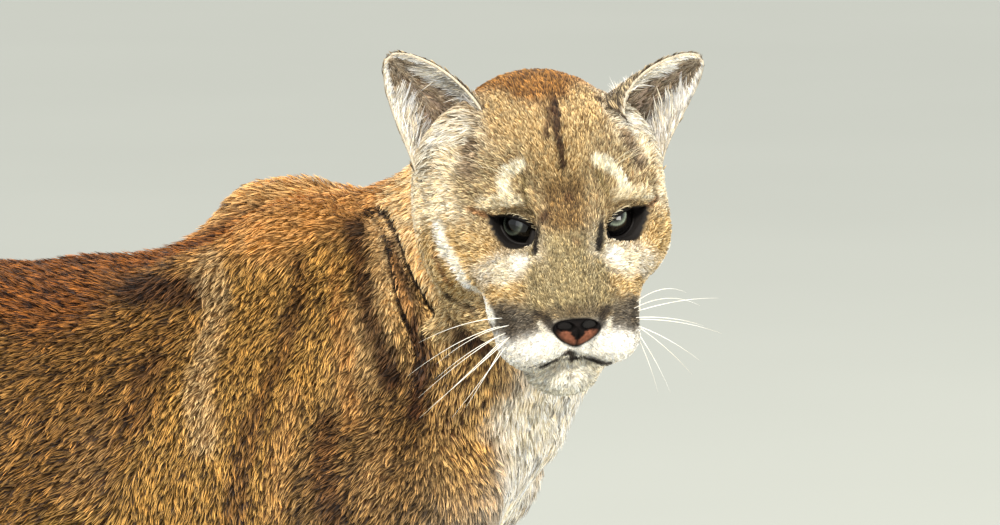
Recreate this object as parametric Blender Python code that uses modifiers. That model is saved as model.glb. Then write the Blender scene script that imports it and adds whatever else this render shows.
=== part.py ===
"""Adult cougar that stands and looks over its right shoulder, as a life-size model in named pieces.

Metres, +Z up. The trunk lies along X with the chest at +X, and the animal's left is +Y.
Muscles are tapered limbs and ovals that melt into each other. They give a first closed
surface, whose points are then moved onto the blended form, and the whole body is parted
with thin cuts. The surface is that of the coat, fur included.
"""

import math

import bmesh
import bpy
import numpy as np
from mathutils import Euler, Matrix, Vector

# Driving dimensions
BACK_HEIGHT = 0.604  # top of the back, midway between shoulders and hips
SHOULDER_HEIGHT = 0.662  # top of the shoulder blades
RUMP_HEIGHT = 0.650
CHEST_BOTTOM = 0.338
TRUNK_BACK = -0.505
TRUNK_FRONT = 0.388
CHEST_HALF_WIDTH = 0.118
EYE_MIDDLE = (0.431, -0.185, 0.660)  # between the eyes, level with their fronts
HEAD_TURN = math.radians(-71)  # from straight ahead to the animal's right
HEAD_NOD = math.radians(5)
HEAD_TILT = math.radians(2.8)
EYE_RADIUS = 0.0158
EYE_CENTRE = (-0.011, 0.0290, 0.0)  # left eye, in the head's own frame
EYE_OUTWARD = math.radians(38)  # how far the lids face to the side
NOSE_CENTRE = (0.0725, 0.0, -0.0585)
NOSE_HALF = (0.0085, 0.0185, 0.0105)  # half its thickness, width and height
HEAD_SWAY = (
    # how the halves of the face differ: middle x and z, reach in x and z, shift to the left
    (-0.002, 0.000, 0.032, 0.042, 0.0130),  # eyes and forehead
    (-0.050, -0.015, 0.030, 0.040, -0.0030),  # cheeks
    (0.072, -0.057, 0.022, 0.014, 0.0027),  # nose
    (0.046, -0.096, 0.035, 0.014, -0.0030),  # chin
)
EAR_LENGTH = 0.082
EAR_HALF_WIDTH = 0.033
EAR_THICKNESS = 0.0036
EARS = {
    # foot in the head's own frame, then lean outward, lean back and turn outward in degrees
    "ear_right": ((-0.062, -0.056, 0.046), -37, -16, -20),
    "ear_left": ((-0.062, 0.047, 0.048), 54, -16, 24),
}
EYE_OPENING = {"half": 0.0178, "upper": 0.0074, "lower": 0.0092, "lean": math.radians(26)}
HEAD_CUT = (-0.095, 0.0, 0.0)  # where head and neck part, in the head's own frame
HEAD_CUT_SLOPE = (0.973, 0.0, 0.229)
LIP_GROOVE = 0.0018  # half the width of the line of the mouth
WELD = 0.00002  # points nearer than this become one after a cut
SOLE = 0.0012  # all that is lower than this is pressed flat on the floor
CREASE = math.radians(50)  # edges sharper than this are shaded as edges
GAP = 0.0003  # between neighbouring pieces
FLESH_VOXEL = 0.007
HEAD_VOXEL = 0.0032
FLESH_TRIANGLES = 5600
HEAD_TRIANGLES = 4000
CENTRE_SHIFT = (0.18490, 0.05765, 0.0)  # brings the middle of the whole over the origin

COAT_COLOUR = (0.42, 0.24, 0.10, 1.0)
TAIL_TIP_COLOUR = (0.06, 0.035, 0.02, 1.0)
NOSE_COLOUR = (0.24, 0.09, 0.06, 1.0)
EYE_COLOUR = (0.20, 0.21, 0.15, 1.0)


def clear_scene():
    for obj in list(bpy.data.objects):
        bpy.data.objects.remove(obj, do_unlink=True)


def make_material(name, colour, roughness):
    material = bpy.data.materials.new(name)
    material.use_nodes = True
    shader = material.node_tree.nodes["Principled BSDF"]
    shader.inputs["Base Color"].default_value = colour
    shader.inputs["Roughness"].default_value = roughness
    shader.inputs["Metallic"].default_value = 0.0
    return material


def melted(first, second, reach):
    """The smaller of two distances, rounded off where they are within reach of each other."""
    overlap = np.maximum(reach - np.abs(first - second), 0.0) / reach
    return np.minimum(first, second) - overlap * overlap * reach * 0.25


def hollowed(first, second, reach):
    """The first distance with the second form scooped out of it."""
    return -melted(-first, second, reach)


class Limb:
    """A tapered form between two balls. Width stretches it along Y."""

    def __init__(self, start, end, start_radius, end_radius, width=1.0, melt=0.02):
        self.start = np.array(start, float)
        self.end = np.array(end, float)
        self.radii = (start_radius, end_radius)
        self.width = width
        self.melt = melt

    def distance(self, points):
        along = self.end - self.start
        share = np.clip((points - self.start) @ along / (along @ along), 0.0, 1.0)
        radius = self.radii[0] + (self.radii[1] - self.radii[0]) * share
        out = points - self.start - share[:, None] * along
        squeezed = out / (1.0, self.width, 1.0)
        length = np.linalg.norm(squeezed, axis=1) + 1e-9
        return (length - radius) * (np.linalg.norm(out, axis=1) + 1e-9) / length

    def build(self, mesh, matrix):
        """Adds the hull of the two end balls."""
        hull = bmesh.new()
        stretch = Matrix.Diagonal((1.0, self.width, 1.0, 1.0))
        for centre, radius in zip((self.start, self.end), self.radii):
            place = Matrix.Translation(Vector(centre)) @ stretch
            bmesh.ops.create_icosphere(hull, subdivisions=3, radius=radius, matrix=place)
        add_hull(hull, mesh, matrix)


class Oval:
    """A ball with three radii, turned about its centre."""

    def __init__(self, centre, radii, turn=(0, 0, 0), melt=0.02):
        self.centre = np.array(centre, float)
        self.radii = np.array(radii, float)
        self.turn = Euler([math.radians(angle) for angle in turn]).to_matrix()
        self.melt = melt

    def distance(self, points):
        local = (points - self.centre) @ np.array(self.turn)
        scaled = np.linalg.norm(local / self.radii, axis=1) + 1e-9
        return np.linalg.norm(local, axis=1) * (1.0 - 1.0 / scaled)

    def build(self, mesh, matrix):
        ball = bmesh.new()
        stretch = Matrix.Diagonal((*self.radii, 1.0))
        place = Matrix.Translation(Vector(self.centre)) @ self.turn.to_4x4() @ stretch
        bmesh.ops.create_icosphere(ball, subdivisions=3, radius=1.0, matrix=place)
        add_hull(ball, mesh, matrix)


class Course:
    """A tube of changing thickness through knots of x, y, z and radius."""

    LENGTHS = 26

    def __init__(self, knots, melt=0.02):
        share = np.linspace(0, len(knots) - 1, self.LENGTHS + 1)
        columns = [smooth_curve(share, range(len(knots)), column) for column in zip(*knots)]
        stops = list(zip(*columns))
        self.limbs = [
            Limb(first[:3], second[:3], first[3], second[3]) for first, second in zip(stops, stops[1:])
        ]
        self.melt = melt

    def distance(self, points):
        return np.min([limb.distance(points) for limb in self.limbs], axis=0)

    def build(self, mesh, matrix):
        for limb in self.limbs:
            limb.build(mesh, matrix)


def add_hull(loose, mesh, matrix):
    """Adds the convex hull of the loose balls to the mesh."""
    found = bmesh.ops.convex_hull(loose, input=loose.verts)
    inside = {item for item in found["geom_interior"] if isinstance(item, bmesh.types.BMVert)}
    bmesh.ops.delete(loose, geom=list(inside), context="VERTS")
    bmesh.ops.transform(loose, matrix=matrix, verts=loose.verts)
    bmesh.ops.recalc_face_normals(loose, faces=loose.faces)
    copy = bpy.data.meshes.new("form")
    loose.to_mesh(copy)
    loose.free()
    mesh.from_mesh(copy)
    bpy.data.meshes.remove(copy)


def smooth_curve(at, knots, values):
    """Cubic curve through the values at the knots."""
    knots = np.asarray(knots, float)
    values = np.asarray(values, float)
    slopes = np.gradient(values, knots)
    at = np.clip(at, knots[0], knots[-1])
    index = np.clip(np.searchsorted(knots, at) - 1, 0, len(knots) - 2)
    step = knots[index + 1] - knots[index]
    share = (at - knots[index]) / step
    square, cube = share**2, share**3
    return (
        values[index] * (2 * cube - 3 * square + 1)
        + values[index + 1] * (3 * square - 2 * cube)
        + slopes[index] * step * (cube - 2 * square + share)
        + slopes[index + 1] * step * (cube - square)
    )


class Trunk:
    """Rib cage, belly and loins, given by the back line, the belly line and the half width."""

    STATIONS = (
        # x, top, bottom, half width
        (TRUNK_BACK, 0.560, 0.510, 0.040),
        (-0.470, 0.622, 0.455, 0.072),
        (-0.400, RUMP_HEIGHT, 0.420, 0.088),
        (-0.290, 0.643, 0.408, 0.092),
        (-0.150, 0.617, 0.392, 0.104),
        (0.000, BACK_HEIGHT, 0.360, 0.116),
        (0.120, 0.609, CHEST_BOTTOM + 0.002, CHEST_HALF_WIDTH),
        (0.190, 0.620, CHEST_BOTTOM, 0.114),
        (0.260, 0.618, 0.347, 0.104),
        (0.320, 0.596, 0.376, 0.084),
        (0.362, 0.555, 0.425, 0.056),
        (TRUNK_FRONT, 0.515, 0.480, 0.018),
    )
    SQUARENESS = 2.2  # exponent of the cross-section, 2 for an ellipse

    def __init__(self, melt=0.03):
        self.melt = melt
        self.knots, top, bottom, width = zip(*self.STATIONS)
        self.top, self.bottom, self.width = top, bottom, width

    def sizes(self, x):
        top = smooth_curve(x, self.knots, self.top)
        bottom = smooth_curve(x, self.knots, self.bottom)
        return (top + bottom) / 2, (top - bottom) / 2, smooth_curve(x, self.knots, self.width)

    def distance(self, points):
        x = np.clip(points[:, 0], self.knots[0], self.knots[-1])
        middle, half, width = self.sizes(x)
        across, up = points[:, 1], points[:, 2] - middle
        power = self.SQUARENESS
        scaled = (np.abs(across / width) ** power + np.abs(up / half) ** power) ** (1 / power) + 1e-9
        ring = np.hypot(across, up) * (1.0 - 1.0 / scaled)
        beyond = points[:, 0] - x
        return np.where(beyond == 0.0, ring, np.hypot(np.maximum(ring, 0.0), beyond))

    def build(self, mesh, matrix):
        places = np.linspace(self.knots[0], self.knots[-1], 20)
        rings = [(x, *self.sizes(np.array([x]))) for x in places]
        for first, second in zip(rings, rings[1:]):
            hull = bmesh.new()
            for x, middle, half, width in (first, second):
                place = Matrix.Translation((x, 0, middle[0])) @ Matrix.Diagonal((0.004, width[0], half[0], 1))
                bmesh.ops.create_icosphere(hull, subdivisions=3, radius=1.0, matrix=place)
            add_hull(hull, mesh, matrix)


class Group:
    """Forms that share a frame. A mirrored group holds the left half only."""

    MARGIN = 0.06

    def __init__(self, name, forms, frame=None, mirrored=False, hollows=(), melt=0.03, sway=None, late=()):
        self.name = name
        self.late = late
        self.sway = sway
        self.forms = forms
        self.hollows = hollows
        self.frame = frame or Matrix.Identity(4)
        self.mirrored = mirrored
        self.melt = melt
        built = bmesh.new()
        self.build(built)
        corners = np.array([vert.co for vert in built.verts])
        built.free()
        self.low = corners.min(0) - self.MARGIN
        self.high = corners.max(0) + self.MARGIN

    def build(self, mesh):
        for form in self.forms:
            form.build(mesh, self.frame)
            if self.mirrored:
                form.build(mesh, self.frame @ Matrix.Scale(-1, 4, (0, 1, 0)))

    def distance(self, points):
        found = np.full(len(points), self.MARGIN)
        near = ((points > self.low) & (points < self.high)).all(1)
        if not near.any():
            return found
        back = np.array(self.frame.inverted())
        local = points[near] @ back[:3, :3].T + back[:3, 3]
        if self.sway:
            local[:, 1] -= self.sway(local[:, 0], local[:, 2])
        if self.mirrored:
            local[:, 1] = np.abs(local[:, 1])
        value = self.forms[0].distance(local)
        for form in self.forms[1:]:
            value = melted(value, form.distance(local), form.melt)
        for form in self.hollows:
            value = hollowed(value, form.distance(local), form.melt)
        for form in self.late:
            value = melted(value, form.distance(local), form.melt)
        found[near] = value
        return found


def head_frame():
    turn = Matrix.Rotation(HEAD_TURN, 4, "Z")
    nod = Matrix.Rotation(HEAD_NOD, 4, "Y")
    tilt = Matrix.Rotation(HEAD_TILT, 4, "X")
    return Matrix.Translation(EYE_MIDDLE) @ turn @ nod @ tilt


def head_sway(x, z):
    """How far to the left the face stands from its own middle plane."""
    shift = -0.0080
    for middle_x, middle_z, reach_x, reach_z, size in HEAD_SWAY:
        shift = shift + size * np.exp(-(((x - middle_x) / reach_x) ** 2) - ((z - middle_z) / reach_z) ** 2)
    return shift


def head_group():
    """The skull and its flesh, forward +X, with the origin between the eyes."""
    forms = [
        Oval((-0.064, 0, 0.030), (0.072, 0.067, 0.0655)),  # braincase
        Oval((-0.026, 0, 0.045), (0.036, 0.050, 0.034), (0, -20, 0), melt=0.020),  # forehead
        Oval((-0.060, 0.054, 0.016), (0.042, 0.032, 0.046), (-12, 0, 0), melt=0.024),  # temple
        Oval((-0.011, 0.032, 0.021), (0.018, 0.025, 0.012), (0, 8, 0), melt=0.014),  # brow
        Oval((0.000, 0.040, -0.023), (0.027, 0.024, 0.021), melt=0.018),  # cheekbone
        Oval((-0.046, 0.053, -0.014), (0.044, 0.0285, 0.040), (16, 0, 0), melt=0.024),  # cheek
        Oval((-0.056, 0.048, 0.054), (0.020, 0.020, 0.018), melt=0.016),  # root of the ear
        Limb((-0.012, 0, 0.018), (0.056, 0, -0.042), 0.026, 0.019, width=1.10, melt=0.014),  # bridge
        Oval((0.058, 0, -0.056), (0.018, 0.023, 0.015), melt=0.010),  # nose
        Oval((0.026, 0.029, -0.050), (0.036, 0.024, 0.025), melt=0.020),  # muzzle root
        Oval((0.047, 0.0248, -0.067), (0.030, 0.0245, 0.0205), (0, 8, 0), melt=0.008),  # lip pad
        Oval((0.050, 0, -0.0705), (0.024, 0.013, 0.0135), melt=0.008),  # between the lip pads
        Oval((0.044, 0, -0.0935), (0.024, 0.0215, 0.0148), melt=0.005),  # chin
        Limb((0.036, 0.012, -0.088), (-0.055, 0.044, -0.056), 0.0125, 0.024, melt=0.016),  # jaw
        Oval((-0.044, 0, -0.050), (0.052, 0.046, 0.040), melt=0.024),  # throat
    ]
    hollows = [
        Oval((0.013, 0.041, -0.001), (0.010, 0.016, 0.0105), (0, 0, -30), melt=0.012),  # socket
    ]
    lids = Oval(EYE_CENTRE, (EYE_RADIUS + 0.0026,) * 3, melt=0.005)
    return Group("head", forms, head_frame(), True, hollows, melt=0.022, sway=head_sway, late=[lids])


def neck_group():
    back_of_head = head_frame() @ Vector((-0.092, 0, -0.012))
    forms = [
        Limb((0.235, 0.000, 0.515), (0.315, -0.012, 0.548), 0.112, 0.098, width=0.92),
        Limb((0.315, -0.012, 0.548), (0.362, -0.045, 0.592), 0.098, 0.084, melt=0.02),
        Limb((0.362, -0.045, 0.592), back_of_head, 0.084, 0.070, melt=0.02),
        Limb((0.255, 0.000, 0.590), head_frame() @ Vector((-0.105, 0, 0.027)), 0.045, 0.050, melt=0.04),
    ]
    return Group("neck", forms, melt=0.035)


def fore_leg_group(name, side, blade_x, paw_x):
    """Shoulder blade, upper arm, forearm and paw. The side is 1 on the left and -1 on the right."""
    top = SHOULDER_HEIGHT - 0.030
    point = (0.316, side * 0.082, 0.455)
    elbow = ((blade_x + paw_x) / 2 - 0.045, side * 0.098, 0.372)
    wrist = (paw_x - 0.018, side * 0.092, 0.128)
    heel = (paw_x - 0.004, side * 0.092, 0.052)
    forms = [
        Limb((blade_x, side * 0.050, top), point, 0.030, 0.056, width=0.74),
        Limb((blade_x - 0.030, side * 0.052, top - 0.006), (blade_x + 0.034, side * 0.048, top - 0.002),
             0.025, 0.028, width=0.80),
        Limb((blade_x - 0.030, side * 0.052, top - 0.008), (0.138, side * 0.048, 0.592), 0.024, 0.023,
             width=0.90, melt=0.03),
        Limb((blade_x + 0.012, side * 0.072, 0.560), (0.280, side * 0.092, 0.470), 0.050, 0.058,
             width=0.80, melt=0.03),
        Oval((0.205, side * 0.098, 0.470), (0.070, 0.042, 0.082), (0, -24, 0), melt=0.035),
        Limb((0.290, side * 0.092, 0.455), elbow, 0.056, 0.048, width=0.84, melt=0.03),
        Limb(elbow, wrist, 0.047, 0.0295, width=0.92, melt=0.02),
        Oval((elbow[0] + 0.012, elbow[1], 0.325), (0.044, 0.040, 0.070), (0, -6, 0), melt=0.02),
        Limb(wrist, heel, 0.0305, 0.034, width=1.10, melt=0.012),
        *paw_forms(paw_x, side * 0.092, 0.046, 0.038),
    ]
    return Group(name, forms, melt=0.034)


def hind_leg_group(name, side, paw_x):
    knee = (paw_x + 0.105, side * 0.098, 0.392)
    hock = (paw_x - 0.088, side * 0.082, 0.212)
    heel = (paw_x - 0.022, side * 0.084, 0.050)
    forms = [
        Oval((-0.408, side * 0.062, 0.535), (0.088, 0.052, 0.110), (0, 16, 0)),
        Limb((-0.385, side * 0.070, 0.520), (knee[0] - 0.015, side * 0.090, 0.425), 0.088, 0.062,
             width=0.62, melt=0.03),
        Limb((-0.455, side * 0.066, 0.500), (knee[0] - 0.085, side * 0.084, 0.350), 0.054, 0.044,
             width=0.70, melt=0.03),
        Limb(knee, hock, 0.050, 0.025, width=0.86, melt=0.03),
        Limb((knee[0] - 0.05, side * 0.086, 0.372), (hock[0] + 0.004, hock[1], 0.235), 0.044, 0.021,
             width=0.72, melt=0.03),
        Oval((hock[0] - 0.008, hock[1], 0.215), (0.024, 0.020, 0.026), melt=0.015),
        Limb(hock, heel, 0.0265, 0.0285, width=1.02, melt=0.015),
        *paw_forms(paw_x, side * 0.086, 0.043, 0.035),
    ]
    return Group(name, forms, melt=0.034)


def paw_forms(x, y, half_width, height):
    """A broad paw of four toes. It reaches a little under the floor, where it is cut flat."""
    forms = [Oval((x + 0.010, y, 0.030), (0.050, half_width * 0.86, height), melt=0.016)]
    for place, forward, size in ((-0.74, 0.032, 0.94), (-0.26, 0.050, 1.0), (0.26, 0.050, 1.0), (0.74, 0.032, 0.94)):
        toe = (x + forward, y + place * half_width, 0.020)
        forms.append(Oval(toe, (0.027 * size, half_width * 0.33, 0.0245 * size), (0, 12, 0), melt=0.010))
    return forms


TAIL_COURSE = (
    # x, y, z, radius
    (-0.470, 0.000, 0.585, 0.040),
    (-0.520, 0.000, 0.545, 0.0345),
    (-0.562, 0.002, 0.470, 0.0315),
    (-0.592, 0.004, 0.385, 0.0300),
    (-0.622, 0.008, 0.300, 0.0290),
    (-0.662, 0.013, 0.222, 0.0285),
    (-0.722, 0.020, 0.168, 0.0280),
    (-0.795, 0.027, 0.158, 0.0275),
    (-0.856, 0.032, 0.192, 0.0250),
)


def tail_group():
    return Group("tail", [Course(TAIL_COURSE)], melt=0.03)


def body_groups():
    return [
        Group("trunk", [Trunk()]),
        fore_leg_group("fore_right", -1, blade_x=0.236, paw_x=0.300),
        fore_leg_group("fore_left", 1, blade_x=0.205, paw_x=0.205),
        hind_leg_group("hind_right", -1, paw_x=-0.425),
        hind_leg_group("hind_left", 1, paw_x=-0.330),
        neck_group(),
        head_group(),
        tail_group(),
    ]


def body_distance(points, groups):
    """How far points lie outside the whole animal, with the soles cut flat at the floor."""
    value = groups[0].distance(points)
    for group in groups[1:]:
        value = melted(value, group.distance(points), group.melt)
    return np.maximum(value, -points[:, 2])


def settle(points, edges, groups, rounds=4, level=0.0):
    """Moves points onto the blended surface, evening out their spacing on the way."""
    step = 0.0006
    probes = np.array([(1, -1, -1), (-1, -1, 1), (-1, 1, -1), (1, 1, 1)], float)
    count = np.bincount(edges.ravel(), minlength=len(points))[:, None] + 1e-9
    for turn in range(rounds):
        if turn < rounds - 1:
            around = np.stack([
                np.bincount(edges[:, 0], points[edges[:, 1], axis], len(points))
                + np.bincount(edges[:, 1], points[edges[:, 0], axis], len(points))
                for axis in range(3)
            ], axis=1) / count
            points = points + (around - points) * 0.5
        for _ in range(2):
            value = body_distance(points, groups) - level
            slope = sum(
                probe * body_distance(points + probe * step, groups)[:, None] for probe in probes
            ) / (4 * step)
            steep = np.maximum(np.linalg.norm(slope, axis=1), 0.4)
            move = np.clip(value / steep, -0.010, 0.010)
            points = points - slope / steep[:, None] * move[:, None]
    return points


def outer_slope(points, groups):
    """Unit directions out of the blended form."""
    step = 0.0008
    probes = np.array([(1, -1, -1), (-1, -1, 1), (-1, 1, -1), (1, 1, 1)], float)
    slope = sum(probe * body_distance(points + probe * step, groups)[:, None] for probe in probes)
    return slope / (np.linalg.norm(slope, axis=1, keepdims=True) + 1e-9)


def on_surface(points, groups):
    """The points pulled onto the blended form along its slope."""
    points = np.array(points, float)
    for _ in range(8):
        points = points - outer_slope(points, groups) * body_distance(points, groups)[:, None]
    return points


def head_place(x, y, z):
    """World place of a point of the head's own frame, with the face's sway."""
    return head_frame() @ Vector((x, y + float(head_sway(x, z)), z))


def new_object(name, mesh, collection):
    obj = bpy.data.objects.new(name, mesh)
    collection.objects.link(obj)
    return obj


def evaluated_copy(obj):
    """A mesh of the object with its modifiers applied."""
    bpy.context.view_layer.update()
    graph = bpy.context.evaluated_depsgraph_get()
    return bpy.data.meshes.new_from_object(obj.evaluated_get(graph))


def apply_modifiers(obj):
    mesh = evaluated_copy(obj)
    old = obj.data
    obj.modifiers.clear()
    obj.data = mesh
    bpy.data.meshes.remove(old)


def remeshed(obj, voxel):
    """Makes the object one closed skin of even faces."""
    remesh = obj.modifiers.new("one skin", "REMESH")
    remesh.mode = "VOXEL"
    remesh.voxel_size = voxel
    apply_modifiers(obj)


def blended_surface(name, groups, voxel, triangles, collection, all_groups, trim=None):
    """One closed surface round the groups, settled on the blended form and thinned out."""
    loose = bmesh.new()
    for group in groups:
        group.build(loose)
    mesh = bpy.data.meshes.new(name)
    loose.to_mesh(mesh)
    loose.free()
    obj = new_object(name, mesh, collection)
    remeshed(obj, voxel)
    points = np.empty(len(obj.data.vertices) * 3)
    obj.data.vertices.foreach_get("co", points)
    edges = np.empty(len(obj.data.edges) * 2, np.int64)
    obj.data.edges.foreach_get("vertices", edges)
    points = settle(points.reshape(-1, 3), edges.reshape(-1, 2), all_groups)
    points[points[:, 2] < SOLE, 2] = 0.0
    obj.data.vertices.foreach_set("co", points.ravel())
    remeshed(obj, voxel * 0.8)
    if trim:
        slope = head_frame().to_3x3() @ Vector(HEAD_CUT_SLOPE)
        halved(obj, head_frame() @ Vector(trim) + slope * GAP, slope)
    thin = obj.modifiers.new("fewer faces", "DECIMATE")
    thin.ratio = min(1.0, triangles / (2 * len(obj.data.polygons)))
    apply_modifiers(obj)
    for vert in obj.data.vertices:
        if vert.co.z < SOLE:
            vert.co.z = 0.0
    return obj


def smooth_shaded(obj):
    """Smooth, but for the edges of the cuts."""
    obj.data.polygons.foreach_set("use_smooth", [True] * len(obj.data.polygons))
    obj.data.set_sharp_from_angle(angle=CREASE)


def halved(obj, point, normal):
    """Keeps the part of the object on the far side of a plane, and closes the cut."""
    mesh = bmesh.new()
    mesh.from_mesh(obj.data)
    everything = mesh.verts[:] + mesh.edges[:] + mesh.faces[:]
    bmesh.ops.bisect_plane(mesh, geom=everything, plane_co=point, plane_no=normal, clear_inner=True)
    rim = [edge for edge in mesh.edges if edge.is_boundary]
    bmesh.ops.contextual_create(mesh, geom=rim)
    bmesh.ops.recalc_face_normals(mesh, faces=mesh.faces)
    mesh.to_mesh(obj.data)
    mesh.free()


def box_cutter(mesh, centre, size, turn=(0, 0, 0)):
    angles = Euler([math.radians(angle) for angle in turn]).to_matrix().to_4x4()
    place = Matrix.Translation(centre) @ angles @ Matrix.Diagonal((*size, 1))
    bmesh.ops.create_cube(mesh, size=1.0, matrix=place)


def cut(obj, mesh, cutters):
    """Cuts the object with the mesh, which is kept as a named cutter."""
    cutter = new_object(obj.name + "_cutter", finished(mesh, obj.name + "_cutter"), cutters)
    hide_cutter(cutter)
    change = obj.modifiers.new("cut", "BOOLEAN")
    change.operation = "DIFFERENCE"
    change.solver = "EXACT"
    change.object = cutter
    apply_modifiers(obj)
    mesh = bmesh.new()
    mesh.from_mesh(obj.data)
    bmesh.ops.remove_doubles(mesh, verts=mesh.verts, dist=WELD)
    bmesh.ops.dissolve_degenerate(mesh, edges=mesh.edges, dist=WELD)
    mesh.to_mesh(obj.data)
    mesh.free()


def hide_cutter(cutter):
    cutter.hide_render = True
    cutter.display_type = "WIRE"


def finished(mesh, name):
    data = bpy.data.meshes.new(name)
    bmesh.ops.recalc_face_normals(mesh, faces=mesh.faces)
    mesh.to_mesh(data)
    mesh.free()
    return data


def parted(obj, places, collection):
    """Splits the object into its loose pieces, each named for the place it is nearest to."""
    mesh = bmesh.new()
    mesh.from_mesh(obj.data)
    mesh.verts.ensure_lookup_table()
    unseen = set(mesh.verts)
    while unseen:
        start = unseen.pop()
        island, open_ends = {start}, [start]
        while open_ends:
            for edge in open_ends.pop().link_edges:
                for vert in edge.verts:
                    if vert in unseen:
                        unseen.discard(vert)
                        island.add(vert)
                        open_ends.append(vert)
        corners = np.array([vert.co for vert in island])
        middle = (corners.min(0) + corners.max(0)) / 2
        name = min(places, key=lambda key: np.linalg.norm(middle - np.array(places[key])))
        piece = mesh.copy()
        piece.verts.ensure_lookup_table()
        kept = {vert.index for vert in island}
        away = [vert for vert in piece.verts if vert.index not in kept]
        bmesh.ops.delete(piece, geom=away, context="VERTS")
        new_object(name, finished(piece, name), collection)
    mesh.free()
    bpy.data.objects.remove(obj, do_unlink=True)


def make_flesh(groups, collection, cutters):
    """Neck, trunk, legs and tail as one surface, parted with thin cuts."""
    body = blended_surface("body", groups, FLESH_VOXEL, FLESH_TRIANGLES, collection, groups)
    slope = head_frame().to_3x3() @ Vector(HEAD_CUT_SLOPE)
    halved(body, head_frame() @ Vector(HEAD_CUT), -slope)
    thin = GAP
    slabs = bmesh.new()
    box_cutter(slabs, (0.335, -0.02, 0.565), (thin, 0.36, 0.30), (0, -38, -14))
    box_cutter(slabs, (0.045, 0, 0.50), (thin, 0.40, 0.40))
    box_cutter(slabs, (-0.160, 0, 0.50), (thin, 0.40, 0.40))
    for side, fore_x, wrist_x, hind_x, hock_x in (
        (-1, 0.27, 0.285, -0.38, -0.51), (1, 0.20, 0.190, -0.29, -0.415),
    ):
        box_cutter(slabs, (fore_x, side * 0.095, 0.329), (0.20, 0.15, thin))
        box_cutter(slabs, (wrist_x, side * 0.092, 0.124), (0.11, 0.14, thin), (0, -6, 0))
        box_cutter(slabs, (hind_x, side * 0.090, 0.384), (0.26, 0.16, thin))
        box_cutter(slabs, (hock_x, side * 0.084, 0.190), (0.12, 0.14, thin), (0, -12, 0))
    for place, turn in (((-0.545, 0, 0.506), 28), ((-0.606, 0.006, 0.345), 19), ((-0.742, 0.022, 0.163), 82)):
        box_cutter(slabs, place, (0.12, 0.12, thin), (0, turn, 0))
    cut(body, slabs, cutters)
    parted(body, PLACES, collection)


PLACES = {
    "neck": (0.37, -0.05, 0.60),
    "chest": (0.20, 0.0, 0.50),
    "loin": (-0.06, 0.0, 0.49),
    "hips": (-0.34, 0.0, 0.52),
    "fore_leg_right": (0.28, -0.095, 0.23),
    "fore_paw_right": (0.32, -0.092, 0.06),
    "fore_leg_left": (0.19, 0.095, 0.23),
    "fore_paw_left": (0.22, 0.092, 0.06),
    "hind_leg_right": (-0.42, -0.09, 0.30),
    "hind_foot_right": (-0.44, -0.085, 0.09),
    "hind_leg_left": (-0.32, 0.09, 0.30),
    "hind_foot_left": (-0.34, 0.085, 0.09),
    "tail_base": (-0.57, 0.0, 0.44),
    "tail_middle": (-0.67, 0.01, 0.24),
    "tail_tip": (-0.81, 0.03, 0.17),
}


def almond(mesh, side):
    """The opening between the lids, as a short prism through them."""
    outline = bmesh.new()
    bmesh.ops.create_circle(outline, cap_ends=True, segments=20, radius=1.0)
    lean = EYE_OPENING["lean"]
    for vert in outline.verts:
        across, up = vert.co.x, vert.co.y
        height = EYE_OPENING["upper"] if up > 0 else -EYE_OPENING["lower"]
        level = height * max(1.0 - across * across, 0.0)
        wide = across * EYE_OPENING["half"]
        vert.co = (0.0, wide * math.cos(lean) - level * math.sin(lean), wide * math.sin(lean) + level * math.cos(lean))
    found = bmesh.ops.extrude_face_region(outline, geom=outline.faces[:])
    for item in found["geom"]:
        if isinstance(item, bmesh.types.BMVert):
            item.co.x += 2 * EYE_RADIUS
    if side < 0:
        bmesh.ops.scale(outline, vec=(1, -1, 1), verts=outline.verts)
    turn = Matrix.Rotation(side * EYE_OUTWARD, 4, "Z")
    centre = head_place(EYE_CENTRE[0], side * EYE_CENTRE[1], EYE_CENTRE[2])
    place = Matrix.Translation(centre) @ head_frame().to_3x3().to_4x4() @ turn
    bmesh.ops.transform(outline, matrix=place, verts=outline.verts)
    mesh.from_mesh(finished(outline, "almond"))


def eye_frame(side):
    """The frame of an eyeball, +Z out through the lids."""
    centre = head_place(EYE_CENTRE[0], side * EYE_CENTRE[1], EYE_CENTRE[2])
    facing = Matrix.Rotation(side * EYE_OUTWARD, 4, "Z") @ Matrix.Rotation(math.radians(90), 4, "Y")
    return Matrix.Translation(centre) @ head_frame().to_3x3().to_4x4() @ facing


def make_eye(name, side, collection):
    ball = bmesh.new()
    bmesh.ops.create_uvsphere(ball, u_segments=18, v_segments=10, radius=EYE_RADIUS, matrix=eye_frame(side))
    return new_object(name, finished(ball, name), collection)


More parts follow.
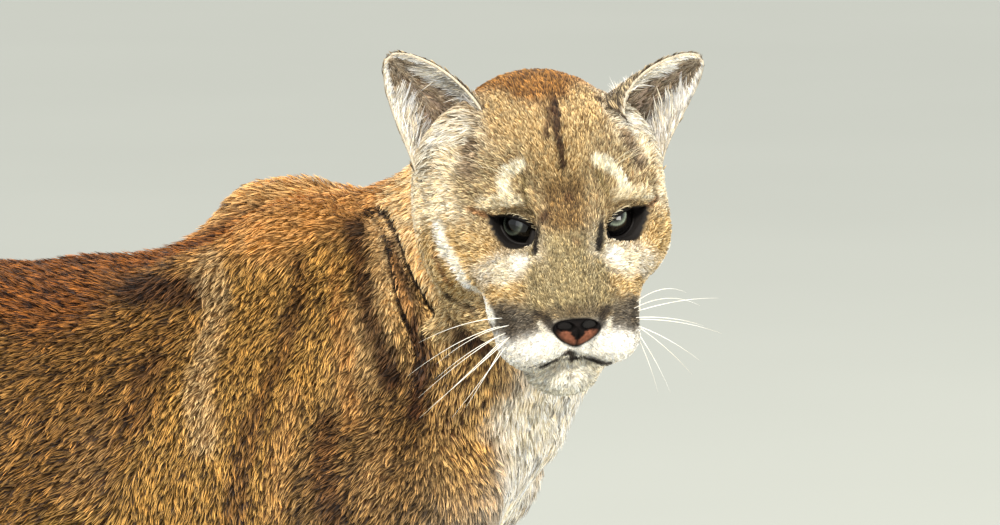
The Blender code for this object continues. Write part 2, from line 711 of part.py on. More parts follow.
def make_nose_pad(head, collection, cutters):
    """The bare nose: a broad top, a narrow foot and a nostril on each side. The head makes room for it."""
    pad = bmesh.new()
    bmesh.ops.create_icosphere(pad, subdivisions=3, radius=1.0)
    for vert in pad.verts:
        low = 0.5 - 0.5 * vert.co.z
        width = NOSE_HALF[1] * (1.0 - 0.55 * low * low)
        vert.co = (vert.co.x * NOSE_HALF[0] - low * 0.004, vert.co.y * width, vert.co.z * NOSE_HALF[2])
    place = Matrix.Translation(head_place(*NOSE_CENTRE)) @ head_frame().to_3x3().to_4x4()
    bmesh.ops.transform(pad, matrix=place, verts=pad.verts)
    room = pad.copy()
    room.normal_update()
    for vert in room.verts:
        vert.co += vert.normal * GAP
    cut(head, room, cutters)
    obj = new_object("nose_pad", finished(pad, "nose_pad"), collection)
    holes = bmesh.new()
    x, y, z = NOSE_CENTRE
    for side in (-1, 1):
        hole = Matrix.Translation(head_place(x + 0.0065, y + side * 0.0098, z + 0.0010))
        slant = Matrix.Rotation(math.radians(side * 35), 4, "X")
        shape = head_frame().to_3x3().to_4x4() @ slant @ Matrix.Diagonal((1.2, 1.35, 0.75, 1.0))
        bmesh.ops.create_icosphere(holes, subdivisions=2, radius=0.0040, matrix=hole @ shape)
    cut(obj, holes, cutters)
    return obj


def tube_along(points, radius, sides, mesh):
    """A round tube along the points, closed at both ends."""
    curve = bpy.data.curves.new("lips", "CURVE")
    curve.dimensions = "3D"
    curve.bevel_depth = radius
    curve.bevel_resolution = sides
    curve.use_fill_caps = True
    spline = curve.splines.new("POLY")
    spline.points.add(len(points) - 1)
    for target, point in zip(spline.points, points):
        target.co = (*point, 1.0)
    holder = bpy.data.objects.new("lips", curve)
    bpy.context.scene.collection.objects.link(holder)
    copy = evaluated_copy(holder)
    mesh.from_mesh(copy)
    bmesh.ops.remove_doubles(mesh, verts=mesh.verts, dist=WELD)
    bpy.data.objects.remove(holder, do_unlink=True)
    bpy.data.meshes.remove(copy)


def make_head(groups, collection, cutters):
    head_side = [groups[-2], groups[-3]]
    obj = blended_surface("head", head_side, HEAD_VOXEL, HEAD_TRIANGLES, collection, groups, trim=HEAD_CUT)
    half = [(0.072, 0.009, -0.0830), (0.062, 0.022, -0.0835), (0.048, 0.034, -0.080), (0.026, 0.044, -0.071)]
    lips = [(x, -y, z) for x, y, z in reversed(half)] + [(0.075, 0.0, -0.081)] + half
    for line in (lips, [(0.080, 0.0, -0.066), (0.077, 0.0, -0.0795)]):
        steps = np.linspace(0, len(line) - 1, 2 * len(line) - 1)
        course = [smooth_curve(steps, range(len(line)), column) for column in zip(*line)]
        points = on_surface([head_place(*point) for point in zip(*course)], groups)
        groove = bmesh.new()
        tube_along(points, LIP_GROOVE, 1, groove)
        cut(obj, groove, cutters)
    for side in (-1, 1):
        lids = bmesh.new()
        almond(lids, side)
        cut(obj, lids, cutters)
        socket = bmesh.new()
        bmesh.ops.create_uvsphere(
            socket, u_segments=18, v_segments=10, radius=EYE_RADIUS + 2 * GAP, matrix=eye_frame(side)
        )
        cut(obj, socket, cutters)
    return obj


def ear_sheet(length, half_width, mesh):
    """A cupped leaf that opens to +X, stands up along +Z and closes to a tube at its foot."""
    bmesh.ops.create_grid(mesh, x_segments=12, y_segments=12, size=0.5)
    for vert in mesh.verts:
        across, up = vert.co.x * 2.0, vert.co.y + 0.5
        width = half_width * (1.0 - 0.22 * up) * (1.0 - up**2.8 * 0.995) ** 0.60
        opening = math.radians(125 - 92 * up**0.6)
        radius = width / math.sin(min(opening, math.pi / 2))
        angle = across * opening
        depth = radius * (1.0 - math.cos(angle))
        lean = -0.012 * up + 0.016 * up * up
        vert.co = (depth + lean - 0.5 * half_width * (1 - up), radius * math.sin(angle), up * length)


def make_ear(name, head, collection, cutters):
    foot, outward, back, turn = EARS[name]
    leaf = bmesh.new()
    ear_sheet(EAR_LENGTH, EAR_HALF_WIDTH, leaf)
    angles = (
        Matrix.Rotation(-math.radians(outward), 4, "X")
        @ Matrix.Rotation(math.radians(back), 4, "Y")
        @ Matrix.Rotation(math.radians(turn), 4, "Z")
    )
    place = head_frame() @ Matrix.Translation(foot) @ angles
    bmesh.ops.transform(leaf, matrix=place, verts=leaf.verts)
    obj = new_object(name, finished(leaf, name), collection)
    wall = obj.modifiers.new("wall", "SOLIDIFY")
    wall.thickness = EAR_THICKNESS
    wall.offset = 0.0
    apply_modifiers(obj)
    skull = bmesh.new()
    skull.from_mesh(head.data)
    for vert in skull.verts:
        vert.co += vert.normal * GAP
    cut(obj, skull, cutters)
    keep_largest(obj)
    return obj


def keep_largest(obj):
    """Leaves only the largest loose piece."""
    mesh = bmesh.new()
    mesh.from_mesh(obj.data)
    unseen, islands = set(mesh.verts), []
    while unseen:
        open_ends = [unseen.pop()]
        island = list(open_ends)
        while open_ends:
            for edge in open_ends.pop().link_edges:
                for vert in edge.verts:
                    if vert in unseen:
                        unseen.discard(vert)
                        island.append(vert)
                        open_ends.append(vert)
        islands.append(island)
    islands.sort(key=len)
    for island in islands[:-1]:
        bmesh.ops.delete(mesh, geom=island, context="VERTS")
    mesh.to_mesh(obj.data)
    mesh.free()


def main():
    clear_scene()
    collection = bpy.data.collections.new("cougar")
    cutters = bpy.data.collections.new("cougar cutters")
    for item in (collection, cutters):
        bpy.context.scene.collection.children.link(item)
    groups = body_groups()
    make_flesh(groups, collection, cutters)
    head = make_head(groups, collection, cutters)
    make_ear("ear_left", head, collection, cutters)
    make_ear("ear_right", head, collection, cutters)
    make_eye("eye_left", 1, collection)
    make_eye("eye_right", -1, collection)
    make_nose_pad(head, collection, cutters)
    materials = {
        "coat": make_material("short tawny fur", COAT_COLOUR, 0.85),
        "tail_tip": make_material("dark fur", TAIL_TIP_COLOUR, 0.85),
        "nose": make_material("nose skin", NOSE_COLOUR, 0.45),
        "eye": make_material("eye", EYE_COLOUR, 0.1),
    }
    for obj in collection.objects:
        kind = "eye" if obj.name.startswith("eye") else "nose" if obj.name == "nose_pad" else "coat"
        if obj.name == "tail_tip":
            kind = "tail_tip"
        obj.data.materials.clear()
        obj.data.materials.append(materials[kind])
        obj.data.transform(Matrix.Translation(CENTRE_SHIFT))
        smooth_shaded(obj)
    for obj in cutters.objects:
        obj.data.transform(Matrix.Translation(CENTRE_SHIFT))


main()
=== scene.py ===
import math

import bmesh
import bpy
import numpy as np
from mathutils import Euler, Matrix, Vector, kdtree


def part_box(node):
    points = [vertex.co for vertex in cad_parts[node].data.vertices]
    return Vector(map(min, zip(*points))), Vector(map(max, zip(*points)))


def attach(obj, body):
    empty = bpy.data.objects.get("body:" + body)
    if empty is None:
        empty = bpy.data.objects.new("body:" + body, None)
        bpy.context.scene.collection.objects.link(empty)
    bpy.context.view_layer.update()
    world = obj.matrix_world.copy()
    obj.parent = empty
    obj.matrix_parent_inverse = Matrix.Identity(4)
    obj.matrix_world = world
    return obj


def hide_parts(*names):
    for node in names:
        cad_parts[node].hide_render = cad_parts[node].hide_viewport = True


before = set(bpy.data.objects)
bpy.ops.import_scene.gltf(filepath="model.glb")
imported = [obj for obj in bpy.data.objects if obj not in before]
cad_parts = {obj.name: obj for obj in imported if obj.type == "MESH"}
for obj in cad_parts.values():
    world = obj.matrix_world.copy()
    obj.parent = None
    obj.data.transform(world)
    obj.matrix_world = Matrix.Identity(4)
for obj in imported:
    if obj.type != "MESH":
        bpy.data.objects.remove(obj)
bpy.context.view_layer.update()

# Places below are in the animal's own frame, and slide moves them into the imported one
head = {
    "eyeMiddle": (0.431, -0.185, 0.660),  # between the eyes
    "turn": -71,  # degrees, to the animal's right
    "nod": 5,
    "tilt": 2.8,
    "eyeCentre": (-0.011, 0.0290, 0.0),  # left eyeball, in the head's frame
    "eyeRadius": 0.0158,
    "eyeOutward": 38,
    "noseCentre": (0.0725, 0.0, -0.0585),
    # how its halves differ: middle x and z, reach in x and z, shift to the left
    "sway": (
        (-0.002, 0.000, 0.032, 0.042, 0.0130), (-0.050, -0.015, 0.030, 0.040, -0.0030),
        (0.072, -0.057, 0.022, 0.014, 0.0027), (0.046, -0.096, 0.035, 0.014, -0.0030),
    ),
}


def turned(degrees, axis):
    return Matrix.Rotation(math.radians(degrees), 4, axis)


headMatrix = (
    Matrix.Translation(head["eyeMiddle"])
    @ turned(head["turn"], "Z")
    @ turned(head["nod"], "Y")
    @ turned(head["tilt"], "X")
)
headTurn = np.array(headMatrix.to_3x3())
headPlace = np.array(headMatrix.translation)


def sway(x, z):
    # how far to the left the face stands from its own middle plane
    shift = -0.0080
    for middleX, middleZ, reachX, reachZ, size in head["sway"]:
        shift = shift + size * np.exp(-(((x - middleX) / reachX) ** 2) - ((z - middleZ) / reachZ) ** 2)
    return shift


def toFace(points):
    local = (points - headPlace) @ headTurn
    local[:, 1] -= sway(local[:, 0], local[:, 2])
    return local


def fromFace(points):
    local = np.array(points, float).reshape(-1, 3).copy()
    local[:, 1] += sway(local[:, 0], local[:, 2])
    return local @ headTurn.T + headPlace


def eyeMatrix(side):
    # x out through the lids, y to the animal's left, z up
    x, y, z = head["eyeCentre"]
    centre = Vector(fromFace([(x, side * y, z)])[0])
    return Matrix.Translation(centre) @ headMatrix.to_3x3().to_4x4() @ turned(side * head["eyeOutward"], "Z")


low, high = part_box("eye_left")
slide = np.array((low + high) / 2) - np.array(eyeMatrix(1).translation)

view = {"azimuth": 10, "elevation": 7, "distance": 5.99, "lens": 317, "aside": 0.0438, "lower": 0.0255}


def placeCamera():
    azimuth, elevation = math.radians(view["azimuth"]), math.radians(view["elevation"])
    back = Vector((math.sin(azimuth) * math.cos(elevation), -math.cos(azimuth) * math.cos(elevation),
                   math.sin(elevation)))
    right = Vector((math.cos(azimuth), math.sin(azimuth), 0))
    up = back.cross(right)
    data = bpy.data.cameras.new("camera")
    data.sensor_width = 36
    data.lens = view["lens"]
    data.clip_end = 400
    camera = bpy.data.objects.new("camera", data)
    bpy.context.scene.collection.objects.link(camera)
    camera.matrix_world = Matrix((right, up, back)).transposed().to_4x4()
    aim = Vector(head["eyeMiddle"]) + Vector(slide)
    camera.location = aim + back * view["distance"] - right * view["aside"] - up * view["lower"]
    bpy.context.scene.camera = camera


placeCamera()


# Body as muscle forms that melt into each other
def melted(first, second, reach):
    overlap = np.maximum(reach - np.abs(first - second), 0.0) / reach
    return np.minimum(first, second) - overlap * overlap * reach * 0.25


def smoothCurve(at, knots, values):
    knots, values = np.asarray(knots, float), np.asarray(values, float)
    slopes = np.gradient(values, knots)
    at = np.clip(at, knots[0], knots[-1])
    index = np.clip(np.searchsorted(knots, at) - 1, 0, len(knots) - 2)
    step = knots[index + 1] - knots[index]
    share = (at - knots[index]) / step
    square, cube = share**2, share**3
    return (
        values[index] * (2 * cube - 3 * square + 1)
        + values[index + 1] * (3 * square - 2 * cube)
        + slopes[index] * step * (cube - 2 * square + share)
        + slopes[index + 1] * step * (cube - square)
    )


def curveThrough(points, count):
    at = np.linspace(0, len(points) - 1, count)
    return np.stack([smoothCurve(at, range(len(points)), column) for column in zip(*points)], axis=1)


def addHull(loose, mesh, matrix):
    found = bmesh.ops.convex_hull(loose, input=loose.verts)
    inside = {item for item in found["geom_interior"] if isinstance(item, bmesh.types.BMVert)}
    bmesh.ops.delete(loose, geom=list(inside), context="VERTS")
    bmesh.ops.transform(loose, matrix=matrix, verts=loose.verts)
    bmesh.ops.recalc_face_normals(loose, faces=loose.faces)
    copy = bpy.data.meshes.new("form")
    loose.to_mesh(copy)
    loose.free()
    mesh.from_mesh(copy)
    bpy.data.meshes.remove(copy)


class Limb:
    # tapered, between two balls
    def __init__(self, start, end, startRadius, endRadius, width=1.0, melt=0.02):
        self.start, self.end = np.array(start, float), np.array(end, float)
        self.radii, self.width, self.melt = (startRadius, endRadius), width, melt

    def distance(self, points):
        along = self.end - self.start
        share = np.clip((points - self.start) @ along / (along @ along), 0.0, 1.0)
        radius = self.radii[0] + (self.radii[1] - self.radii[0]) * share
        out = points - self.start - share[:, None] * along
        squeezed = out / (1.0, self.width, 1.0)
        length = np.linalg.norm(squeezed, axis=1) + 1e-9
        return (length - radius) * (np.linalg.norm(out, axis=1) + 1e-9) / length

    def build(self, mesh, matrix):
        hull = bmesh.new()
        for centre, radius in zip((self.start, self.end), self.radii):
            place = Matrix.Translation(Vector(centre)) @ Matrix.Diagonal((1, self.width, 1, 1))
            bmesh.ops.create_icosphere(hull, subdivisions=2, radius=radius, matrix=place)
        addHull(hull, mesh, matrix)


class Oval:
    def __init__(self, centre, radii, turn=(0, 0, 0), melt=0.02):
        self.centre, self.radii = np.array(centre, float), np.array(radii, float)
        self.turn = Euler([math.radians(angle) for angle in turn]).to_matrix()
        self.melt = melt

    def distance(self, points):
        local = (points - self.centre) @ np.array(self.turn)
        scaled = np.linalg.norm(local / self.radii, axis=1) + 1e-9
        return np.linalg.norm(local, axis=1) * (1.0 - 1.0 / scaled)

    def build(self, mesh, matrix):
        ball = bmesh.new()
        place = Matrix.Translation(Vector(self.centre)) @ self.turn.to_4x4()
        place = place @ Matrix.Diagonal((*self.radii, 1.0))
        bmesh.ops.create_icosphere(ball, subdivisions=2, radius=1.0, matrix=place)
        addHull(ball, mesh, matrix)


class Course:
    # tube of changing thickness through knots of x, y, z and radius
    def __init__(self, knots, melt=0.02, lengths=26):
        stops = curveThrough(knots, lengths + 1)
        self.limbs = [Limb(one[:3], two[:3], one[3], two[3]) for one, two in zip(stops, stops[1:])]
        self.melt = melt

    def distance(self, points):
        return np.min([limb.distance(points) for limb in self.limbs], axis=0)

    def build(self, mesh, matrix):
        for limb in self.limbs:
            limb.build(mesh, matrix)


class Trunk:
    # rib cage, belly and loins: x, top, bottom, half width
    stations = (
        (-0.505, 0.560, 0.510, 0.040), (-0.470, 0.622, 0.455, 0.072), (-0.400, 0.650, 0.420, 0.088),
        (-0.290, 0.643, 0.408, 0.092), (-0.150, 0.617, 0.392, 0.104), (0.000, 0.604, 0.360, 0.116),
        (0.120, 0.609, 0.340, 0.118), (0.190, 0.620, 0.338, 0.114), (0.260, 0.618, 0.347, 0.104),
        (0.320, 0.596, 0.376, 0.084), (0.362, 0.555, 0.425, 0.056), (0.388, 0.515, 0.480, 0.018),
    )
    squareness = 2.2

    def __init__(self, melt=0.03):
        self.melt = melt
        self.knots, self.top, self.bottom, self.width = zip(*self.stations)

    def sizes(self, x):
        top, bottom = smoothCurve(x, self.knots, self.top), smoothCurve(x, self.knots, self.bottom)
        return (top + bottom) / 2, (top - bottom) / 2, smoothCurve(x, self.knots, self.width)

    def distance(self, points):
        x = np.clip(points[:, 0], self.knots[0], self.knots[-1])
        middle, half, width = self.sizes(x)
        across, up = points[:, 1], points[:, 2] - middle
        power = self.squareness
        scaled = (np.abs(across / width) ** power + np.abs(up / half) ** power) ** (1 / power) + 1e-9
        ring = np.hypot(across, up) * (1.0 - 1.0 / scaled)
        beyond = points[:, 0] - x
        return np.where(beyond == 0.0, ring, np.hypot(np.maximum(ring, 0.0), beyond))

    def build(self, mesh, matrix):
        places = np.linspace(self.knots[0], self.knots[-1], 16)
        rings = [(x, *self.sizes(np.array([x]))) for x in places]
        for first, second in zip(rings, rings[1:]):
            hull = bmesh.new()
            for x, middle, half, width in (first, second):
                place = Matrix.Translation((x, 0, middle[0])) @ Matrix.Diagonal((0.004, width[0], half[0], 1))
                bmesh.ops.create_icosphere(hull, subdivisions=2, radius=1.0, matrix=place)
            addHull(hull, mesh, matrix)


class Group:
    # forms that share a frame; the face holds its left half only
    margin = 0.06

    def __init__(self, forms, melt=0.03, face=False):
        self.forms, self.melt, self.face = forms, melt, face
        self.hollows, self.late = [], []
        built = bmesh.new()
        self.build(built)
        corners = np.array([vert.co for vert in built.verts])
        built.free()
        self.low, self.high = corners.min(0) - self.margin, corners.max(0) + self.margin

    def build(self, mesh):
        matrix = headMatrix if self.face else Matrix.Identity(4)
        for form in self.forms:
            form.build(mesh, matrix)
            if self.face:
                form.build(mesh, matrix @ Matrix.Scale(-1, 4, (0, 1, 0)))

    def distance(self, points):
        found = np.full(len(points), self.margin)
        near = ((points > self.low) & (points < self.high)).all(1)
        if not near.any():
            return found
        local = points[near]
        if self.face:
            local = toFace(local)
            local[:, 1] = np.abs(local[:, 1])
        value = self.forms[0].distance(local)
        for form in self.forms[1:]:
            value = melted(value, form.distance(local), form.melt)
        for form in self.hollows:
            value = -melted(-value, form.distance(local), form.melt)
        for form in self.late:
            value = melted(value, form.distance(local), form.melt)
        found[near] = value
        return found


def faceGroup():
    group = Group([
        Oval((-0.064, 0, 0.030), (0.072, 0.067, 0.0655)),  # braincase
        Oval((-0.026, 0, 0.045), (0.036, 0.050, 0.034), (0, -20, 0), melt=0.020),  # forehead
        Oval((-0.060, 0.054, 0.016), (0.042, 0.032, 0.046), (-12, 0, 0), melt=0.024),  # temple
        Oval((-0.011, 0.032, 0.021), (0.018, 0.025, 0.012), (0, 8, 0), melt=0.014),  # brow
        Oval((0.000, 0.040, -0.023), (0.027, 0.024, 0.021), melt=0.018),  # cheekbone
        Oval((-0.046, 0.053, -0.014), (0.044, 0.0285, 0.040), (16, 0, 0), melt=0.024),  # cheek
        Oval((-0.056, 0.048, 0.054), (0.020, 0.020, 0.018), melt=0.016),  # root of the ear
        Limb((-0.012, 0, 0.018), (0.056, 0, -0.042), 0.026, 0.019, width=1.10, melt=0.014),  # bridge
        Oval((0.058, 0, -0.056), (0.018, 0.023, 0.015), melt=0.010),  # nose
        Oval((0.026, 0.029, -0.050), (0.036, 0.024, 0.025), melt=0.020),  # muzzle root
        Oval((0.047, 0.0248, -0.067), (0.030, 0.0245, 0.0205), (0, 8, 0), melt=0.008),  # lip pad
        Oval((0.050, 0, -0.0705), (0.024, 0.013, 0.0135), melt=0.008),  # between the lip pads
        Oval((0.044, 0, -0.0935), (0.024, 0.0215, 0.0148), melt=0.005),  # chin
        Limb((0.036, 0.012, -0.088), (-0.055, 0.044, -0.056), 0.0125, 0.024, melt=0.016),  # jaw
        Oval((-0.044, 0, -0.050), (0.052, 0.046, 0.040), melt=0.024),  # throat
    ], melt=0.022, face=True)
    group.hollows.append(Oval((0.013, 0.041, -0.001), (0.010, 0.016, 0.0105), (0, 0, -30), melt=0.012))
    group.late.append(Oval(head["eyeCentre"], (head["eyeRadius"] + 0.0026,) * 3, melt=0.005))  # lids
    return group


def neckGroup():
    nape = headMatrix @ Vector((-0.092, 0, -0.012))
    crest = headMatrix @ Vector((-0.105, 0, 0.027))
    return Group([
        Limb((0.235, 0.000, 0.515), (0.315, -0.012, 0.548), 0.112, 0.098, width=0.92),
        Limb((0.315, -0.012, 0.548), (0.362, -0.045, 0.592), 0.098, 0.084, melt=0.02),
        Limb((0.362, -0.045, 0.592), nape, 0.084, 0.070, melt=0.02),
        Limb((0.255, 0.000, 0.590), crest, 0.045, 0.050, melt=0.04),
    ], melt=0.035)


def pawForms(x, y, halfWidth, height):
    forms = [Oval((x + 0.010, y, 0.030), (0.050, halfWidth * 0.86, height), melt=0.016)]
    toes = ((-0.74, 0.032, 0.94), (-0.26, 0.050, 1.0), (0.26, 0.050, 1.0), (0.74, 0.032, 0.94))
    for place, forward, size in toes:
        toe = (x + forward, y + place * halfWidth, 0.020)
        forms.append(Oval(toe, (0.027 * size, halfWidth * 0.33, 0.0245 * size), (0, 12, 0), melt=0.010))
    return forms


foreLegs = {-1: {"blade": 0.236, "paw": 0.300}, 1: {"blade": 0.205, "paw": 0.205}}
hindLegs = {-1: {"paw": -0.425}, 1: {"paw": -0.330}}


def foreKnots(side):
    blade, paw = foreLegs[side]["blade"], foreLegs[side]["paw"]
    return {
        "blade": (blade, side * 0.050, 0.632),
        "point": (0.316, side * 0.082, 0.455),
        "elbow": ((blade + paw) / 2 - 0.045, side * 0.098, 0.372),
        "wrist": (paw - 0.018, side * 0.092, 0.128),
        "heel": (paw - 0.004, side * 0.092, 0.052),
        "toe": (paw + 0.060, side * 0.092, 0.030),
    }


def hindKnots(side):
    paw = hindLegs[side]["paw"]
    return {
        "knee": (paw + 0.105, side * 0.098, 0.392),
        "hock": (paw - 0.088, side * 0.082, 0.212),
        "heel": (paw - 0.022, side * 0.084, 0.050),
        "toe": (paw + 0.060, side * 0.086, 0.028),
    }


def foreLegGroup(side):
    knots, blade = foreKnots(side), foreLegs[side]["blade"]
    elbow = knots["elbow"]
    return Group([
        Limb(knots["blade"], knots["point"], 0.030, 0.056, width=0.74),
        Limb((blade - 0.030, side * 0.052, 0.626), (blade + 0.034, side * 0.048, 0.630), 0.025, 0.028,
             width=0.80),
        Limb((blade - 0.030, side * 0.052, 0.624), (0.138, side * 0.048, 0.592), 0.024, 0.023,
             width=0.90, melt=0.03),
        Limb((blade + 0.012, side * 0.072, 0.560), (0.280, side * 0.092, 0.470), 0.050, 0.058,
             width=0.80, melt=0.03),
        Oval((0.205, side * 0.098, 0.470), (0.070, 0.042, 0.082), (0, -24, 0), melt=0.035),
        Limb((0.290, side * 0.092, 0.455), elbow, 0.056, 0.048, width=0.84, melt=0.03),
        Limb(elbow, knots["wrist"], 0.047, 0.0295, width=0.92),
        Oval((elbow[0] + 0.012, elbow[1], 0.325), (0.044, 0.040, 0.070), (0, -6, 0)),
        Limb(knots["wrist"], knots["heel"], 0.0305, 0.034, width=1.10, melt=0.012),
        *pawForms(foreLegs[side]["paw"], side * 0.092, 0.046, 0.038),
    ], melt=0.034)


def hindLegGroup(side):
    knots = hindKnots(side)
    knee, hock = knots["knee"], knots["hock"]
    return Group([
        Oval((-0.408, side * 0.062, 0.535), (0.088, 0.052, 0.110), (0, 16, 0)),
        Limb((-0.385, side * 0.070, 0.520), (knee[0] - 0.015, side * 0.090, 0.425), 0.088, 0.062,
             width=0.62, melt=0.03),
        Limb((-0.455, side * 0.066, 0.500), (knee[0] - 0.085, side * 0.084, 0.350), 0.054, 0.044,
             width=0.70, melt=0.03),
        Limb(knee, hock, 0.050, 0.025, width=0.86, melt=0.03),
        Limb((knee[0] - 0.05, side * 0.086, 0.372), (hock[0] + 0.004, hock[1], 0.235), 0.044, 0.021,
             width=0.72, melt=0.03),
        Oval((hock[0] - 0.008, hock[1], 0.215), (0.024, 0.020, 0.026), melt=0.015),
        Limb(hock, knots["heel"], 0.0265, 0.0285, width=1.02, melt=0.015),
        *pawForms(hindLegs[side]["paw"], side * 0.086, 0.043, 0.035),
    ], melt=0.034)


tailCourse = (
    # x, y, z, radius
    (-0.470, 0.000, 0.585, 0.040), (-0.520, 0.000, 0.545, 0.0345), (-0.562, 0.002, 0.470, 0.0315),
    (-0.592, 0.004, 0.385, 0.0300), (-0.622, 0.008, 0.300, 0.0290), (-0.662, 0.013, 0.222, 0.0285),
    (-0.722, 0.020, 0.168, 0.0280), (-0.795, 0.027, 0.158, 0.0275), (-0.856, 0.032, 0.192, 0.0250),
)

faceForms = faceGroup()
bodyForms = [
    Group([Trunk()]), foreLegGroup(-1), foreLegGroup(1), hindLegGroup(-1), hindLegGroup(1),
    neckGroup(), faceForms, Group([Course(tailCourse)]),
]


def bodyDistance(points):
    value = bodyForms[0].distance(points)
    for group in bodyForms[1:]:
        value = melted(value, group.distance(points), group.melt)
    return np.maximum(value, -points[:, 2])


probes = np.array([(1, -1, -1), (-1, -1, 1), (-1, 1, -1), (1, 1, 1)], float)


def slopeOf(distance, points, step=0.0006):
    return sum(probe * distance(points + probe * step)[:, None] for probe in probes) / (4 * step)


def onSurface(points):
    points = np.array(points, float)
    for _ in range(8):
        slope = slopeOf(bodyDistance, points)
        slope /= np.linalg.norm(slope, axis=1, keepdims=True) + 1e-9
        points = points - slope * bodyDistance(points)[:, None]
    return points


def smoothStep(low, high, value):
    share = np.clip((value - low) / (high - low), 0.0, 1.0)
    return share * share * (3 - 2 * share)


def lineDistance(points, line):
    # distance to the nearest stretch of a line of points
    found = np.full(len(points), 1e9)
    for start, end in zip(line, line[1:]):
        along = end - start
        share = np.clip((points - start) @ along / (along @ along), 0.0, 1.0)
        found = np.minimum(found, np.linalg.norm(points - start - share[:, None] * along, axis=1))
    return found


def lineAcross(points, line):
    # the same, measured along the skin and not down through it
    away = lineDistance(points, line)
    near = away < 0.035
    if near.any():
        away[near] = np.sqrt(np.maximum(away[near] ** 2 - bodyDistance(points[near]) ** 2, 0.0))
    return away


def linear(text):
    # sRGB hex to linear red, green and blue
    parts = [int(text[place:place + 2], 16) / 255 for place in (0, 2, 4)]
    return [part / 12.92 if part <= 0.04045 else ((part + 0.055) / 1.055) ** 2.4 for part in parts]


# Lie, length and colour of the coat
coatKinds = {
    # length, depth and width in mm, tufts to the square centimetre, tip and root colour, the root partly the
    # hair's own base and partly painted shade deep in the coat
    "back": (10.5, 6.0, 0.95, 38, "a46323", "140301"),
    "rump": (13, 7.0, 1.30, 27, "9e6332", "1d0501"),
    "hindBack": (13, 7.0, 1.30, 27, "9d602c", "1b0401"),
    "flank": (9.6, 6.0, 0.90, 44, "a87a3c", "100301"),
    "hindFlank": (13, 7.0, 1.30, 26, "9d723e", "1d0801"),
    "lowFlank": (12, 7.0, 1.10, 31, "c39647", "2a1202"),
    "belly": (24, 9.5, 1.60, 18, "eadfc6", "8a6f4c"),
    # painted light: the shoulders' tops get paler tips and roots than the back, for the light falling on
    # them, over their own tawny
    "shoulderTopLit": (7.8, 5.2, 0.80, 50, "ffc074", "74490f"),
    "farHumpLit": (9, 5.0, 0.90, 42, "ffd28c", "9c6c32"),
    "shoulder": (8.4, 5.6, 0.80, 52, "e4b05c", "200b01"),
    "shoulderLow": (8.2, 5.2, 0.80, 52, "a07a46", "100401"),
    "legOut": (10, 4.5, 1.35, 24, "ad7d4c", "43250c"),
    "legIn": (12, 5.0, 1.45, 20, "c4b391", "725936"),
    "foot": (7, 3.0, 1.15, 32, "b0946d", "553c20"),
    "toe": (5, 2.2, 1.05, 36, "b39d79", "59432c"),
    "thigh": (12, 6.0, 1.35, 25, "9b7040", "220c02"),
    "chest": (18, 7.0, 1.2, 30, "ffffff", "f2e8d0"),
    "neckTop": (7.0, 4.2, 0.85, 56, "ffecbc", "d4a868"),
    "neckSide": (6.6, 3.8, 0.80, 62, "ffdc9e", "c69a5a"),
    "throat": (9.0, 5.0, 0.95, 48, "e8bc73", "4a2b10"),
    "tail": (14, 7.0, 1.45, 24, "9d6837", "230b01"),
    "tailTip": (18, 8.0, 1.50, 24, "2c2018", "0c0705"),
    "bridge": (3.0, 1.0, 0.55, 150, "c7b588", "544628"),
    "bridgeTop": (3.6, 1.2, 0.55, 145, "a58554", "35230c"),
    "forehead": (4.4, 1.5, 0.60, 130, "e4c892", "684c24"),
    "crown": (6.0, 2.4, 0.75, 95, "ac7836", "402408"),
    "brow": (4.6, 1.5, 0.60, 125, "d8c494", "72583a"),
    "temple": (6.0, 2.2, 0.70, 100, "fff8e0", "ccb48a"),
    "earFoot": (12, 3.5, 0.80, 80, "fef8e5", "7c6d52"),
    "cheek": (5.4, 1.9, 0.65, 115, "ecd09a", "86662f"),
    "underEye": (4.0, 1.3, 0.55, 130, "fff6e6", "b0a284"),
    "jaw": (8.0, 3.0, 0.85, 80, "f0d6a0", "7c5c2e"),
    "whiskerPad": (3.0, 1.0, 0.50, 150, "827868", "261e14"),
    "lip": (2.6, 0.9, 0.50, 150, "ffffff", "dcd6c6"),
    "chin": (5.0, 1.8, 0.60, 115, "fff8e8", "c8bea0"),
}

